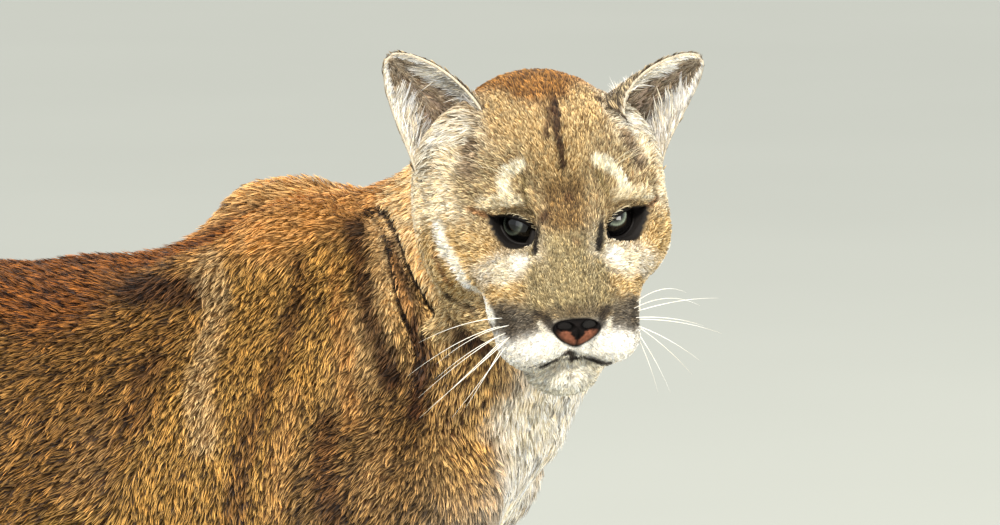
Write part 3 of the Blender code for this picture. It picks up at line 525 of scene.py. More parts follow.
lies = {
    # kind, from, to, and whether the other side has it too
    "body": (
        ("back", (0.22, 0, 0.62), (0.02, 0, 0.61), False),
        ("back", (0.02, 0, 0.61), (-0.05, 0, 0.62), False),
        ("hindBack", (-0.08, 0, 0.62), (-0.25, 0, 0.64), False),
        ("rump", (-0.25, 0, 0.645), (-0.47, 0, 0.61), False),
        ("back", (0.05, 0.06, 0.59), (-0.10, 0.065, 0.585), True),
        # painted light on the tops of the shoulders, in this row and the next
        ("farHumpLit", (0.26, 0.05, 0.66), (0.14, 0.065, 0.64), False),
        ("shoulderTopLit", (0.28, -0.05, 0.66), (0.20, -0.07, 0.645), False),
        ("shoulder", (0.25, 0.085, 0.62), (0.225, 0.11, 0.55), True),
        ("shoulder", (0.19, 0.085, 0.60), (0.175, 0.11, 0.53), True),
        ("shoulder", (0.21, 0.12, 0.53), (0.195, 0.13, 0.45), True),
        ("shoulder", (0.15, 0.115, 0.52), (0.13, 0.125, 0.44), True),
        ("shoulderLow", (0.31, 0.11, 0.52), (0.255, 0.13, 0.475), True),
        ("shoulderLow", (0.29, 0.13, 0.47), (0.24, 0.14, 0.40), True),
        ("flank", (0.12, 0.09, 0.57), (0.06, 0.11, 0.52), True),
        ("flank", (0.10, 0.12, 0.50), (0.03, 0.12, 0.45), True),
        ("flank", (0.00, 0.10, 0.56), (-0.08, 0.11, 0.51), True),
        ("hindFlank", (-0.10, 0.10, 0.56), (-0.22, 0.10, 0.51), True),
        ("lowFlank", (0.08, 0.11, 0.42), (-0.02, 0.10, 0.39), True),
        ("lowFlank", (-0.05, 0.11, 0.45), (-0.16, 0.09, 0.41), True),
        ("belly", (0.20, 0.02, 0.34), (0.03, 0.02, 0.35), True),
        ("belly", (0.00, 0.02, 0.36), (-0.15, 0.02, 0.39), True),
        ("belly", (-0.16, 0.03, 0.39), (-0.32, 0.02, 0.42), True),
        ("rump", (-0.36, 0.08, 0.63), (-0.45, 0.10, 0.56), True),
        ("thigh", (-0.38, 0.12, 0.57), (-0.42, 0.12, 0.48), True),
        ("thigh", (-0.28, 0.12, 0.52), (-0.32, 0.13, 0.42), True),
        ("thigh", (-0.48, 0.09, 0.54), (-0.49, 0.08, 0.44), True),
        ("chest", (0.41, -0.02, 0.53), (0.38, 0.00, 0.44), False),
        ("chest", (0.37, 0.03, 0.44), (0.32, 0.03, 0.37), True),
        ("neckTop", (0.33, -0.02, 0.69), (0.27, 0.00, 0.665), False),
        ("neckTop", (0.35, -0.07, 0.70), (0.30, -0.06, 0.66), False),
        ("neckSide", (0.33, -0.13, 0.66), (0.31, -0.12, 0.60), False),
        ("throat", (0.32, -0.11, 0.60), (0.33, -0.12, 0.53), False),
        ("shoulderLow", (0.33, -0.11, 0.55), (0.30, -0.12, 0.50), False),
        ("throat", (0.36, -0.13, 0.56), (0.35, -0.11, 0.50), False),
        ("neckSide", (0.42, -0.04, 0.66), (0.36, 0.05, 0.58), False),
        ("throat", (0.42, -0.02, 0.60), (0.37, 0.06, 0.52), False),
        ("chest", (0.42, -0.10, 0.55), (0.40, -0.06, 0.50), False),
    ),
    "face": (
        ("bridge", (0.070, 0.004, -0.034), (0.040, 0.006, -0.006), True),
        ("bridge", (0.060, 0.018, -0.040), (0.030, 0.020, -0.012), True),
        ("bridgeTop", (0.032, 0.004, 0.008), (0.018, 0.006, 0.028), True),
        ("forehead", (0.016, 0.008, 0.042), (0.004, 0.012, 0.066), True),
        ("forehead", (-0.004, 0.025, 0.072), (-0.030, 0.030, 0.088), True),
        ("crown", (-0.030, 0.012, 0.092), (-0.075, 0.015, 0.094), True),
        ("crown", (-0.085, 0.025, 0.085), (-0.120, 0.030, 0.055), True),
        ("brow", (0.012, 0.022, 0.020), (0.006, 0.028, 0.046), True),
        ("brow", (0.010, 0.035, 0.020), (-0.006, 0.048, 0.038), True),
        ("brow", (0.004, 0.050, 0.014), (-0.018, 0.062, 0.026), True),
        ("temple", (-0.018, 0.058, 0.040), (-0.040, 0.064, 0.044), True),
        ("earFoot", (-0.034, 0.058, 0.062), (-0.042, 0.076, 0.048), True),
        ("temple", (-0.020, 0.074, 0.020), (-0.060, 0.084, 0.010), True),
        ("temple", (-0.060, 0.085, 0.004), (-0.085, 0.084, -0.020), True),
        ("cheek", (0.006, 0.060, -0.014), (-0.022, 0.078, -0.014), True),
        ("cheek", (0.012, 0.060, -0.034), (-0.020, 0.074, -0.044), True),
        ("cheek", (-0.034, 0.084, -0.016), (-0.060, 0.086, -0.040), True),
        ("underEye", (0.036, 0.024, -0.014), (0.028, 0.034, -0.030), True),
        ("underEye", (0.030, 0.036, -0.022), (0.010, 0.056, -0.030), True),
        ("cheek", (0.050, 0.034, -0.034), (0.026, 0.052, -0.038), True),
        ("jaw", (0.000, 0.056, -0.062), (-0.036, 0.070, -0.074), True),
        ("jaw", (0.020, 0.036, -0.088), (-0.020, 0.046, -0.096), True),
        ("jaw", (-0.050, 0.070, -0.070), (-0.085, 0.070, -0.080), True),
        ("whiskerPad", (0.070, 0.030, -0.048), (0.058, 0.042, -0.055), True),
        ("whiskerPad", (0.058, 0.042, -0.048), (0.040, 0.048, -0.052), True),
        ("lip", (0.077, 0.010, -0.071), (0.074, 0.020, -0.078), True),
        ("lip", (0.074, 0.024, -0.068), (0.066, 0.036, -0.075), True),
        ("lip", (0.058, 0.044, -0.068), (0.044, 0.046, -0.075), True),
        ("chin", (0.068, 0.006, -0.088), (0.062, 0.009, -0.102), True),
        ("chin", (0.050, 0.018, -0.104), (0.020, 0.024, -0.108), True),
    ),
}


def gatherLies():
    rows = []
    for kind, start, end, both in lies["body"]:
        for side in (1, -1) if both else (1,):
            rows.append((kind, np.array(start) * (1, side, 1), np.array(end) * (1, side, 1)))
    for kind, start, end, both in lies["face"]:
        for side in (1, -1) if both else (1,):
            flip = np.array((1, side, 1))
            ends = onSurface(fromFace([np.array(start) * flip, np.array(end) * flip]))
            rows.append((kind, ends[0], ends[1]))

    def along(knots, names, radius, side, outer, inner):
        for first, second in zip(names, names[1:]):
            for kind, shift in ((outer, side * radius), (inner, -side * radius)):
                offset = np.array((0, shift, 0))
                rows.append((kind, np.array(knots[first]) + offset, np.array(knots[second]) + offset))

    for side in (1, -1):
        along(foreKnots(side), ("elbow", "wrist"), 0.036, side, "legOut", "legIn")
        along(foreKnots(side), ("wrist", "heel"), 0.030, side, "foot", "foot")
        along(hindKnots(side), ("knee", "hock"), 0.036, side, "legOut", "legIn")
        along(hindKnots(side), ("hock", "heel"), 0.026, side, "foot", "foot")
        for knots in (foreKnots(side), hindKnots(side)):
            rows.append(("toe", np.array(knots["heel"]) + (0.02, 0, 0.02), np.array(knots["toe"])))
    stops = [np.array(knot[:3]) for knot in tailCourse]
    for count, (first, second) in enumerate(zip(stops, stops[1:])):
        rows.append(("tail" if count < 6 else "tailTip", first + (second - first) * 0.1, second))
    return rows


rows = gatherLies()
lieStart = np.array([row[1] for row in rows], np.float32)
lieAlong = np.array([row[2] - row[1] for row in rows], np.float32)
lieWay = lieAlong / np.linalg.norm(lieAlong, axis=1, keepdims=True)
lieValues = np.array([
    (*[size * 0.001 for size in coatKinds[kind][:3]], coatKinds[kind][3], *linear(coatKinds[kind][4]),
     *linear(coatKinds[kind][5]))
    for kind, _, _ in rows
], np.float32)


def coatAt(points):
    # lay direction and coat values, each blended from the nearest lies
    way = np.empty((len(points), 3), np.float32)
    values = np.empty((len(points), lieValues.shape[1]), np.float32)
    square = (lieAlong**2).sum(1)
    for first in range(0, len(points), 8000):
        part = points[first:first + 8000].astype(np.float32)
        away = part[:, None, :] - lieStart
        share = np.clip((away * lieAlong).sum(2) / square, 0.0, 1.0)
        away -= share[..., None] * lieAlong
        weight = 1.0 / ((away**2).sum(2) + 0.004**2) ** 2
        weight /= weight.sum(1, keepdims=True)
        way[first:first + 8000] = weight @ lieWay
        values[first:first + 8000] = weight @ lieValues
    return way, values


# Folds and creases, as lines on the surface: places, depth and half width
creases = {
    "frontFold": {"line": [(0.250, -0.060, 0.660), (0.272, -0.076, 0.652), (0.284, -0.090, 0.637),
                           (0.298, -0.111, 0.593), (0.314, -0.120, 0.560)], "depth": 0.0070, "half": 0.0052},
    "neckFold": {"line": [(0.262, -0.062, 0.662), (0.282, -0.081, 0.653), (0.296, -0.100, 0.633),
                          (0.305, -0.111, 0.616), (0.325, -0.126, 0.588)], "depth": 0.0062, "half": 0.0048},
    "midFold": {"line": [(0.265, -0.066, 0.660), (0.288, -0.093, 0.640), (0.300, -0.110, 0.608),
                         (0.320, -0.123, 0.575)], "depth": -0.0032, "half": 0.0055},
    "backRise": {"line": [(0.060, 0.010, 0.620), (0.120, 0.015, 0.630), (0.155, 0.020, 0.645)],
                 "depth": -0.0065, "half": 0.036},
    "farFold": {"line": [(0.262, 0.050, 0.655), (0.285, 0.075, 0.620), (0.310, 0.095, 0.570)],
                "depth": 0.005, "half": 0.007},
}
mouth = {
    "lip": [(0.0745, 0.0, -0.0795), (0.071, 0.009, -0.0828), (0.068, 0.021, -0.0820), (0.056, 0.034, -0.0790),
            (0.034, 0.044, -0.0715)],
    "philtrum": [(0.080, 0.0, -0.066), (0.077, 0.0, -0.0795)],
    "groove": 0.0030,
}


def faceLine(points, count):
    # curve on the skin of the face, back in the face's frame
    return toFace(onSurface(fromFace(curveThrough(points, count))))


lipLine = faceLine(mouth["lip"], 13)
philtrumLine = faceLine(mouth["philtrum"], 5)
for line in (lipLine, philtrumLine):
    knots = [(x, max(y, 0.0), z, mouth["groove"]) for x, y, z in line]
    faceForms.hollows.append(Course(knots, melt=0.002, lengths=12))
for crease in creases.values():
    crease["onSkin"] = onSurface(curveThrough(crease["line"], 12))

eyeOpening = {"half": 0.0178, "upper": 0.0076, "lower": 0.0088, "lean": 26, "skew": 0.42, "lowSkew": 0.38}
eyeFrames = {side: eyeMatrix(side) for side in (-1, 1)}


def inEye(points, side):
    # places as seen from the eyeball: out, along the opening and across it
    matrix = np.array(eyeFrames[side])
    local = (points - matrix[:3, 3]) @ matrix[:3, :3]
    local[:, 1] *= side
    lean = math.radians(eyeOpening["lean"])
    along = local[:, 1] * math.cos(lean) + local[:, 2] * math.sin(lean)
    across = local[:, 2] * math.cos(lean) - local[:, 1] * math.sin(lean)
    return local[:, 0], along, across


def lidEdge(along):
    # upper and lower edge of the opening
    share = np.clip(along / eyeOpening["half"], -1, 1)
    bow = 1 - share * share
    upper = eyeOpening["upper"] * bow * (1 - eyeOpening["skew"] * share)
    return upper, -eyeOpening["lower"] * bow * (1 - eyeOpening["lowSkew"] * share)


def openingDistance(points, side):
    out, along, across = inEye(points, side)
    upper, lower = lidEdge(along)
    edge = np.maximum(across - upper, lower - across) * 0.85
    return np.maximum(np.maximum(edge, np.abs(along) - eyeOpening["half"]), -out)


def fromEye(side, along, across, out):
    lean = math.radians(eyeOpening["lean"])
    y = (along * math.cos(lean) - across * math.sin(lean)) * side
    z = along * math.sin(lean) + across * math.cos(lean)
    matrix = np.array(eyeFrames[side])
    return np.stack([out, y, z], axis=1) @ matrix[:3, :3].T + matrix[:3, 3]


def lidPoints(side, along, upper, lift, beyond=0.0):
    edge = lidEdge(along)[0 if upper else 1]
    across = edge + (beyond if upper else -beyond)
    reach = (head["eyeRadius"] + lift) ** 2 - along**2 - across**2
    out = np.sqrt(np.maximum(reach, 0.0035**2))
    return fromEye(side, along, across, out)


def relief(points):
    # folds of loose skin, measured outward
    height = np.zeros(len(points))
    for crease in creases.values():
        near = (np.abs(points - crease["onSkin"].mean(0)) < 0.12).all(1)
        away = lineAcross(points[near], crease["onSkin"])
        height[near] -= crease["depth"] * np.exp(-((away / crease["half"]) ** 2))
    return height


def skinDistance(points, coatDepth):
    value = bodyDistance(points) + coatDepth
    near = np.linalg.norm(points - headPlace, axis=1) < 0.075
    for side in (-1, 1):
        value[near] = np.maximum(value[near], -openingDistance(points[near], side))
    return value


skin = {
    "voxel": 0.0056,
    "faceReach": 0.135,  # finer skin this near the eyes' middle
    "eyeReach": 0.026,
    "muzzleReach": 0.036,
}


def meshArrays(mesh):
    points = np.empty(len(mesh.vertices) * 3)
    mesh.vertices.foreach_get("co", points)
    edges = np.empty(len(mesh.edges) * 2, np.int64)
    mesh.edges.foreach_get("vertices", edges)
    return points.reshape(-1, 3), edges.reshape(-1, 2)


def settled(points, edges, rounds, moving=None):
    # evens out the points and pulls them to the skin, the coat's depth under its surface
    moving = np.ones(len(points), bool) if moving is None else moving
    count = np.bincount(edges.ravel(), minlength=len(points))[:, None] + 1e-9
    for turn in range(rounds):
        around = np.stack([
            np.bincount(edges[:, 0], points[edges[:, 1], axis], len(points))
            + np.bincount(edges[:, 1], points[edges[:, 0], axis], len(points))
            for axis in range(3)
        ], axis=1) / count
        share = 0.5 if turn < rounds - 1 else 0.15
        points[moving] += (around - points)[moving] * share
        part = points[moving]
        for _ in range(2):
            depth = coatAt(part)[1][:, 1] - relief(part)
            value = skinDistance(part, depth)
            slope = slopeOf(lambda places: skinDistance(places, depth), part)
            steep = np.maximum(np.linalg.norm(slope, axis=1), 0.4)
            part = part - slope / (steep**2)[:, None] * np.clip(value, -0.012, 0.012)[:, None]
        points[moving] = part
    return points


def subdivided(mesh, near):
    # halves the faces whose corners are all near
    fine = bmesh.new()
    fine.from_mesh(mesh)
    fine.verts.ensure_lookup_table()
    flags = near(np.array([vert.co for vert in fine.verts]))
    edges = [edge for edge in fine.edges if flags[edge.verts[0].index] and flags[edge.verts[1].index]]
    bmesh.ops.subdivide_edges(fine, edges=edges, cuts=1, use_grid_fill=True)
    bmesh.ops.triangulate(fine, faces=[face for face in fine.faces if len(face.verts) > 4])
    fine.to_mesh(mesh)
    fine.free()


def nearFolds(points, reach):
    near = np.zeros(len(points), bool)
    for name in ("frontFold", "neckFold"):
        near |= lineDistance(points, creases[name]["onSkin"]) < reach
    return near


def foldDistance(points):
    return np.minimum(*[lineAcross(points, creases[name]["onSkin"]) for name in ("frontFold", "neckFold")])


def nearFace(points):
    return (np.linalg.norm(points - headPlace, axis=1) < skin["faceReach"]) | nearFolds(points, 0.024)


def nearFeatures(points):
    local = toFace(points)
    eyes = [np.linalg.norm(points - np.array(eyeFrames[side].translation), axis=1) for side in (-1, 1)]
    muzzle = np.linalg.norm((local - (0.066, 0, -0.070)) / (0.8, 1.1, 0.8), axis=1)
    return (np.minimum(*eyes) < skin["eyeReach"]) | (muzzle < skin["muzzleReach"])


def buildSkin():
    loose = bmesh.new()
    for group in bodyForms:
        group.build(loose)
    mesh = bpy.data.meshes.new("skin")
    loose.to_mesh(mesh)
    loose.free()
    obj = bpy.data.objects.new("skin", mesh)
    bpy.context.scene.collection.objects.link(obj)
    remesh = obj.modifiers.new("one skin", "REMESH")
    remesh.mode = "VOXEL"
    remesh.voxel_size = skin["voxel"]
    bpy.context.view_layer.update()
    whole = bpy.data.meshes.new_from_object(obj.evaluated_get(bpy.context.evaluated_depsgraph_get()))
    obj.modifiers.clear()
    obj.data = whole
    points, edges = meshArrays(whole)
    points = settled(points, edges, 3)
    whole.vertices.foreach_set("co", points.ravel())
    for near in (nearFace, nearFeatures):
        subdivided(whole, near)
        points, edges = meshArrays(whole)
        moving = near(points)
        points = settled(points, edges, 3, moving)
        whole.vertices.foreach_set("co", points.ravel())
    points[:, 2] = np.maximum(points[:, 2], 0.0)
    whole.vertices.foreach_set("co", points.ravel())
    whole.update()
    print("skin:", len(whole.vertices), "points,", len(whole.polygons), "faces")
    return obj


skinPiece = buildSkin()


whiskers = {
    # for each side: root's place back and down, lift and sweep in degrees, length and droop in mm
    -1: ((0.052, -0.050, 8, 62, 66, 22), (0.060, -0.053, 2, 58, 60, 24), (0.050, -0.056, -4, 66, 70, 26),
         (0.058, -0.059, -8, 60, 58, 20), (0.052, -0.062, -20, 66, 66, 18), (0.061, -0.064, -27, 58, 72, 10),
         (0.053, -0.067, -34, 64, 74, 8), (0.062, -0.068, -40, 56, 60, 8), (0.055, -0.071, -50, 60, 44, 6),
         (0.064, -0.060, -14, 50, 36, 12)),
    1: ((0.048, -0.046, 36, 78, 46, 26), (0.056, -0.048, 28, 72, 56, 30), (0.050, -0.052, 16, 80, 62, 16),
        (0.058, -0.054, 4, 72, 50, 14), (0.050, -0.058, -2, 82, 60, 16), (0.060, -0.060, -20, 70, 48, 12),
        (0.052, -0.064, -36, 76, 46, 10), (0.061, -0.067, -56, 64, 42, 8), (0.056, -0.071, -66, 62, 36, 6)),
    "thick": 0.00032,
}

# Marks of skin and coat, as soft spots and strokes: the coat's own patterns, and painted shade and painted
# highlights where noted
marksAndPaintedLight = {
    # half width in mm, tip and root colour, strength, whether both sides have it, and places
    "face": (
        (5.0, "94805c", "3a2e22", 0.78, True, (0.077, 0.0, -0.0435), (0.073, 0.013, -0.0445),
         (0.067, 0.023, -0.0465)),  # grey band over the nose
        (3.0, "34271a", "0e0804", 0.88, True, (0.066, 0.0255, -0.044), (0.07, 0.02, -0.047),
         (0.073, 0.017, -0.0545)),  # beside the nose
        # painted highlight: a thin pale stroke beside each nostril
        (1.8, "f4efe0", "c8bea6", 0.85, True, (0.072, 0.0255, -0.05), (0.0755, 0.0215, -0.06)),
        (5.0, "54462f", "120a06", 0.6, True, (0.05, 0.045, -0.044), (0.057, 0.0445, -0.053),
         (0.062, 0.042, -0.059)),  # muzzle side
        (2.9, "452812", "1c0a04", 0.93, False, (-0.021, 0.0064, 0.086), (-0.008, 0.0059, 0.08),
         (0.005, 0.0033, 0.067), (0.012, 0.0036, 0.054), (0.016, 0.0036, 0.044)),  # forehead stripe
        (2.4, "50321a", "240e06", 0.8, False, (-0.01, 0.002, 0.08), (-0.001, -0.0005, 0.0746),
         (0.007, -0.0048, 0.0646)),
        (5.5, "5a3c26", "24120a", 0.8, False, (0.023, -0.0166, 0.0116)),
        (4.5, "64442a", "2a160a", 0.75, False, (0.02, 0.0034, 0.0234)),
        (4.0, "8a6238", "3a1a0a", 0.5, False, (0.042, 0.0076, -0.002)),
        (4.4, "fffef2", "e4d8b4", 0.95, True, (0.007, 0.027, 0.045), (0.003, 0.037, 0.0405),
         (0.002, 0.0415, 0.033), (0.006, 0.041, 0.0205)),  # pale arc over the eye
        (4.6, "fdf4da", "c8b68e", 0.88, True, (-0.006, 0.06, 0.017), (0.0046, 0.0455, 0.021),
         (0.0085, 0.0336, 0.02)),
        (2.6, "86743e", "4a3a1c", 0.6, True, (0.009, 0.026, 0.036), (0.01, 0.03, 0.018)),
        # white under it
        (6.5, "ffffff", "ece6d4", 0.95, True, (0.028, 0.034, -0.0145), (0.031, 0.038, -0.02)),
        (7.5, "fff8e4", "c8b890", 0.7, True, (0.028, 0.045, -0.02), (0.033, 0.043, -0.027)),
        (2.4, "b8783e", "5a2c10", 0.6, True, (0.0, 0.056, 0.009), (-0.012, 0.066, 0.013)),  # outer corner
        (4.6, "120a06", "080402", 0.97, True, (0.021, 0.0245, 0.002), (0.03, 0.0225, -0.008)),  # tear marks
        (3.4, "1e140c", "0a0503", 0.94, True, (0.03, 0.0225, -0.007), (0.033, 0.0205, -0.01)),
        (7.0, "ffffff", "e0dac8", 0.95, True, (0.078, 0.012, -0.0755), (0.072, 0.03, -0.0755),
         (0.06, 0.042, -0.077)),  # white lip
        (13, "faf7ec", "cac4b0", 0.85, True, (0.072, 0.0, -0.092), (0.06, 0.014, -0.104)),  # chin
        (3.0, "6c5a44", "2c1e14", 0.7, False, (0.072, 0.0, -0.083), (0.071, 0.0, -0.088)),  # under the lip
        (5.4, "ffffff", "f2ead0", 0.97, True, (-0.028, 0.081, -0.002), (-0.0235, 0.08, -0.014),
         (-0.012, 0.0737, -0.027), (-0.0096, 0.061, -0.043), (0.022, 0.0538, -0.049),
         (0.038, 0.0505, -0.052)),  # cheek streak
        (2.6, "fff2d2", "c8a870", 0.65, True, (-0.045, 0.085, 0.025), (-0.049, 0.0875, -0.004),
         (-0.043, 0.084, -0.029), (-0.047, 0.0725, -0.051)),  # edge of the ruff
        (2.4, "9a6630", "421e08", 0.7, True, (-0.034, 0.083, -0.0115), (-0.028, 0.079, -0.028),
         (-0.022, 0.07, -0.044)),
        (4.5, "3a2010", "0e0604", 0.9, True, (-0.0412, 0.0694, -0.0537), (-0.0217, 0.0566, -0.0596),
         (0.004, 0.052, -0.064)),  # shade under the jaw
        # painted shade further down and back under the jaw
        (10, "4a2e16", "120804", 0.8, True, (-0.07, 0.0565, -0.095), (-0.0625, 0.045, -0.094)),
        (24, "a8783c", "42280e", 0.75, False, (-0.045, 0.0, 0.092), (-0.08, 0.0, 0.095)),  # crown
        (7, "fffcf4", "d0c4a8", 0.85, True, (-0.047, 0.0756, 0.0553), (-0.034, 0.0603, 0.0638)),
        (8.0, "6e4c26", "261406", 0.8, True, (-0.019, 0.0563, 0.0535), (-0.016, 0.06, 0.04)),
        (4.5, "4a2a12", "180a04", 0.85, True, (-0.04, 0.0425, 0.08)),
    ),
    "body": (
        # painted shade in the hollow behind the shoulder blade, in this row and the next
        (13, "54301a", "080200", 0.85, False, (0.149, -0.078, 0.596), (0.125, -0.073, 0.596),
         (0.1, -0.06, 0.598)),  # dark hollow behind the blade
        (14, "7e5028", "0e0402", 0.6, False, (0.125, -0.106, 0.541), (0.118, -0.115, 0.514)),
        (16, "c89c60", "3a1e08", 0.45, False, (0.088, -0.117, 0.494), (0.076, -0.117, 0.452)),
        # pale streak down the shoulder
        (12, "f0d4a0", "6e4c24", 0.62, False, (0.158, -0.07, 0.615), (0.168, -0.084, 0.59),
         (0.164, -0.102, 0.561), (0.161, -0.12, 0.532), (0.168, -0.133, 0.499)),
        (8, "7c5028", "0e0402", 0.72, False, (0.225, -0.085, 0.618), (0.227, -0.099, 0.596),
         (0.22, -0.116, 0.557), (0.204, -0.133, 0.517), (0.196, -0.14, 0.479), (0.19, -0.137, 0.445)),
        (8, "dcac6a", "4e2c10", 0.55, False, (0.23, -0.128, 0.531), (0.224, -0.138, 0.494),
         (0.217, -0.139, 0.448)),
        (7, "e6ac62", "6a4018", 0.55, False, (0.246, -0.07, 0.643), (0.258, -0.108, 0.596),
         (0.267, -0.122, 0.548), (0.272, -0.131, 0.511)),
        (9, "7c5028", "100602", 0.7, False, (0.255, -0.132, 0.514), (0.253, -0.141, 0.481),
         (0.262, -0.145, 0.448)),
        (12, "d8ae70", "503010", 0.5, False, (0.291, -0.135, 0.502), (0.291, -0.146, 0.458)),
        (8, "ffe6b0", "c89c60", 0.75, False, (0.286, -0.064, 0.672), (0.299, -0.088, 0.662),
         (0.314, -0.114, 0.634), (0.326, -0.126, 0.606)),  # pale neck
        # painted shade: dark bands beside the folds
        (9, "5c361a", "080201", 0.9, False, (0.262, -0.077, 0.646), (0.27, -0.098, 0.62),
         (0.279, -0.112, 0.591), (0.291, -0.118, 0.563), (0.3, -0.122, 0.541)),
        (8.5, "56301a", "080201", 0.92, False, (0.289, -0.096, 0.632), (0.302, -0.11, 0.607),
         (0.312, -0.118, 0.58), (0.319, -0.122, 0.553), (0.319, -0.127, 0.521)),
        # painted highlight along the ridge between the folds
        (2.6, "ecb878", "9a6c38", 0.85, False, (0.263, -0.064, 0.66), (0.277, -0.079, 0.653),
         (0.29, -0.095, 0.635), (0.3, -0.108, 0.61), (0.312, -0.117, 0.586)),  # pale ridge between them
        # painted shade in the folds: near-black lines along them, in this row and the next
        (2.8, "1e0c04", "060201", 0.97, False, (0.268, -0.073, 0.654), (0.284, -0.09, 0.637),
         (0.291, -0.101, 0.617), (0.298, -0.111, 0.593), (0.306, -0.116, 0.576)),  # folds
        (2.4, "1e0c04", "060201", 0.97, False, (0.277, -0.077, 0.656), (0.286, -0.086, 0.649),
         (0.296, -0.1, 0.633), (0.305, -0.111, 0.616), (0.316, -0.12, 0.601), (0.325, -0.126, 0.588)),
        # painted shade on the throat under the turned head
        (12, "6a4228", "1c0a06", 0.7, False, (0.348, -0.138, 0.582), (0.364, -0.137, 0.57)),
        (11, "70502c", "1a0a04", 0.6, False, (0.349, -0.132, 0.513), (0.355, -0.139, 0.504)),
        (26, "fffaf0", "dccfae", 0.8, False, (0.386, -0.082, 0.511), (0.392, -0.06, 0.49)),  # white chest
    ),
}


def gatherMarksAndPaintedLight():
    found = []
    for area, rows in marksAndPaintedLight.items():
        for width, tip, root, strength, both, *places in rows:
            for side in (1, -1) if both else (1,):
                line = np.array(places, float) * (1, side, 1)
                line = onSurface(fromFace(line) if area == "face" else line)
                found.append((line, width, linear(tip), linear(root), strength))
    along = np.linspace(-0.80, 0.62, 9) * eyeOpening["half"]
    for side in (-1, 1):
        # pale edge under the lower lid
        line = fromEye(side, along, lidEdge(along)[1] - 0.0052, np.full(len(along), 0.014))
        found.append((onSurface(line), 2.6, linear("fffaec"), linear("ded2b4"), 0.95))
        for x, z, *_ in whiskers[side]:
            spot = onSurface(fromFace([(x, side * 0.046, z)]))
            found.append((spot, 1.5, linear("4c3e2c"), linear("1a110a"), 0.75))
        lip = onSurface(fromFace(lipLine[:9] * (1, side, 1)))
        found.append((lip, 2.3, linear("2c2018"), linear("0c0705"), 0.94))
        found.append((lip[:2], 3.6, linear("3a2c20"), linear("100a06"), 0.85))
        under = onSurface(fromFace((lipLine[:7] - (0.001, 0, 0.0035)) * (1, side, 1)))
        found.append((under, 2.0, linear("2c2018"), linear("0c0705"), 0.90))
    found.append((onSurface(fromFace(philtrumLine)), 1.5, linear("4a3a2c"), linear("140c08"), 0.9))
    return found


placedMarksAndPaintedLight = gatherMarksAndPaintedLight()


def hashed(cells, seed):
    # one steady number between 0 and 1 for each cell
    value = np.sin(cells @ np.array((127.1, 311.7, 74.7)) + seed * 53.7) * 43758.5453
    return value - np.floor(value)


def cloud(points, size, seed=0):
    # soft noise from -1 to 1 with spots of that size
    scaled = points / size
    base = np.floor(scaled)
    share = scaled - base
    share = share * share * (3 - 2 * share)
    total = np.zeros(len(points))
    for corner in np.ndindex(2, 2, 2):
        weight = np.prod(np.where(corner, share, 1 - share), axis=1)
        total += weight * hashed(base + corner, seed)
    return total * 2 - 1


def coloured(points, values):
    # tip and root colour at each point, with the marks, painted shade and painted highlights over the coat's
    # own
    tip, root = values[:, 4:7].astype(float), values[:, 7:10].astype(float)
    ragged = cloud(points, 0.005, 3) * 0.22 + cloud(points, 0.0022, 4) * 0.18
    deep = values[:, 1] - relief(points)  # under the surface that the markings are drawn on
    for line, width, tipColour, rootColour, strength in placedMarksAndPaintedLight:
        middle, reach = line.mean(0), np.max(np.ptp(line, axis=0)) / 2 + width * 0.0018 + 0.008
        near = (np.abs(points - middle) < reach).all(1)
        if not near.any():
            continue
        if len(line) == 1:
            away = np.linalg.norm(points[near] - line[0], axis=1) / (width * 0.001)
        else:
            away = lineDistance(points[near], line)
            away = np.sqrt(np.maximum(away**2 - deep[near] ** 2, 0.0)) / (width * 0.001)
        weight = (1 - smoothStep(0.45, 1.45, away + ragged[near] * 0.8))[:, None] * strength
        tip[near] += (tipColour - tip[near]) * weight
        root[near] += (rootColour - root[near]) * weight
    return tip, root


def barePlace(points):
    # 1 on the rims of the eyes, the lips' edge and the nose, where the skin is black
    bare = np.zeros(len(points))
    near = np.linalg.norm(points - headPlace, axis=1) < 0.15
    part = points[near]
    local = toFace(part)
    found = np.zeros(len(part))
    for side in (-1, 1):
        away = openingDistance(part, side)
        found = np.maximum(found, 1 - smoothStep(0.0014, 0.0026, away))
    mirrored = local * (1, 0, 1) + np.abs(local) * (0, 1, 0)
    found = np.maximum(found, 1 - smoothStep(0.0024, 0.0036, lineDistance(mirrored, lipLine)))
    found = np.maximum(found, 1 - smoothStep(0.0010, 0.0020, lineDistance(mirrored, philtrumLine)))
    found = np.maximum(found, 1 - smoothStep(0.0, 0.0014, nosePadDistance(local)))
    bare[near] = found
    return bare


nosePad = {
    "halfWidth": 0.0185,
    "halfHeight": 0.0105,
    "thick": 0.0085,
    "nostril": (0.0070, 0.0102, 0.0056),  # from the pad's middle, on the left
    "nostrilRadii": (0.0060, 0.0086, 0.0040),
    "nostrilLean": 4,
    "nostrilDepth": 0.0052,
    "groove": 0.0011,  # depth and half width
    "taper": 0.55,  # narrower at the foot
    "setBack": 0.004,  # foot behind the top
}


def nosePadDistance(local):
    # a broad top and a narrow foot, in the face's frame
    x, y, z = (local - np.array(head["noseCentre"])).T
    low = np.clip(0.5 - 0.5 * z / nosePad["halfHeight"], 0, 1)
    width = nosePad["halfWidth"] * (1 - nosePad["taper"] * low * low)
    forward = x + low * nosePad["setBack"]
    scaled = np.stack([forward / nosePad["thick"], y / width, z / nosePad["halfHeight"]])
    length = np.linalg.norm(scaled, axis=0) + 1e-9
    return (length - 1) / length * np.linalg.norm((x, y, z), axis=0)


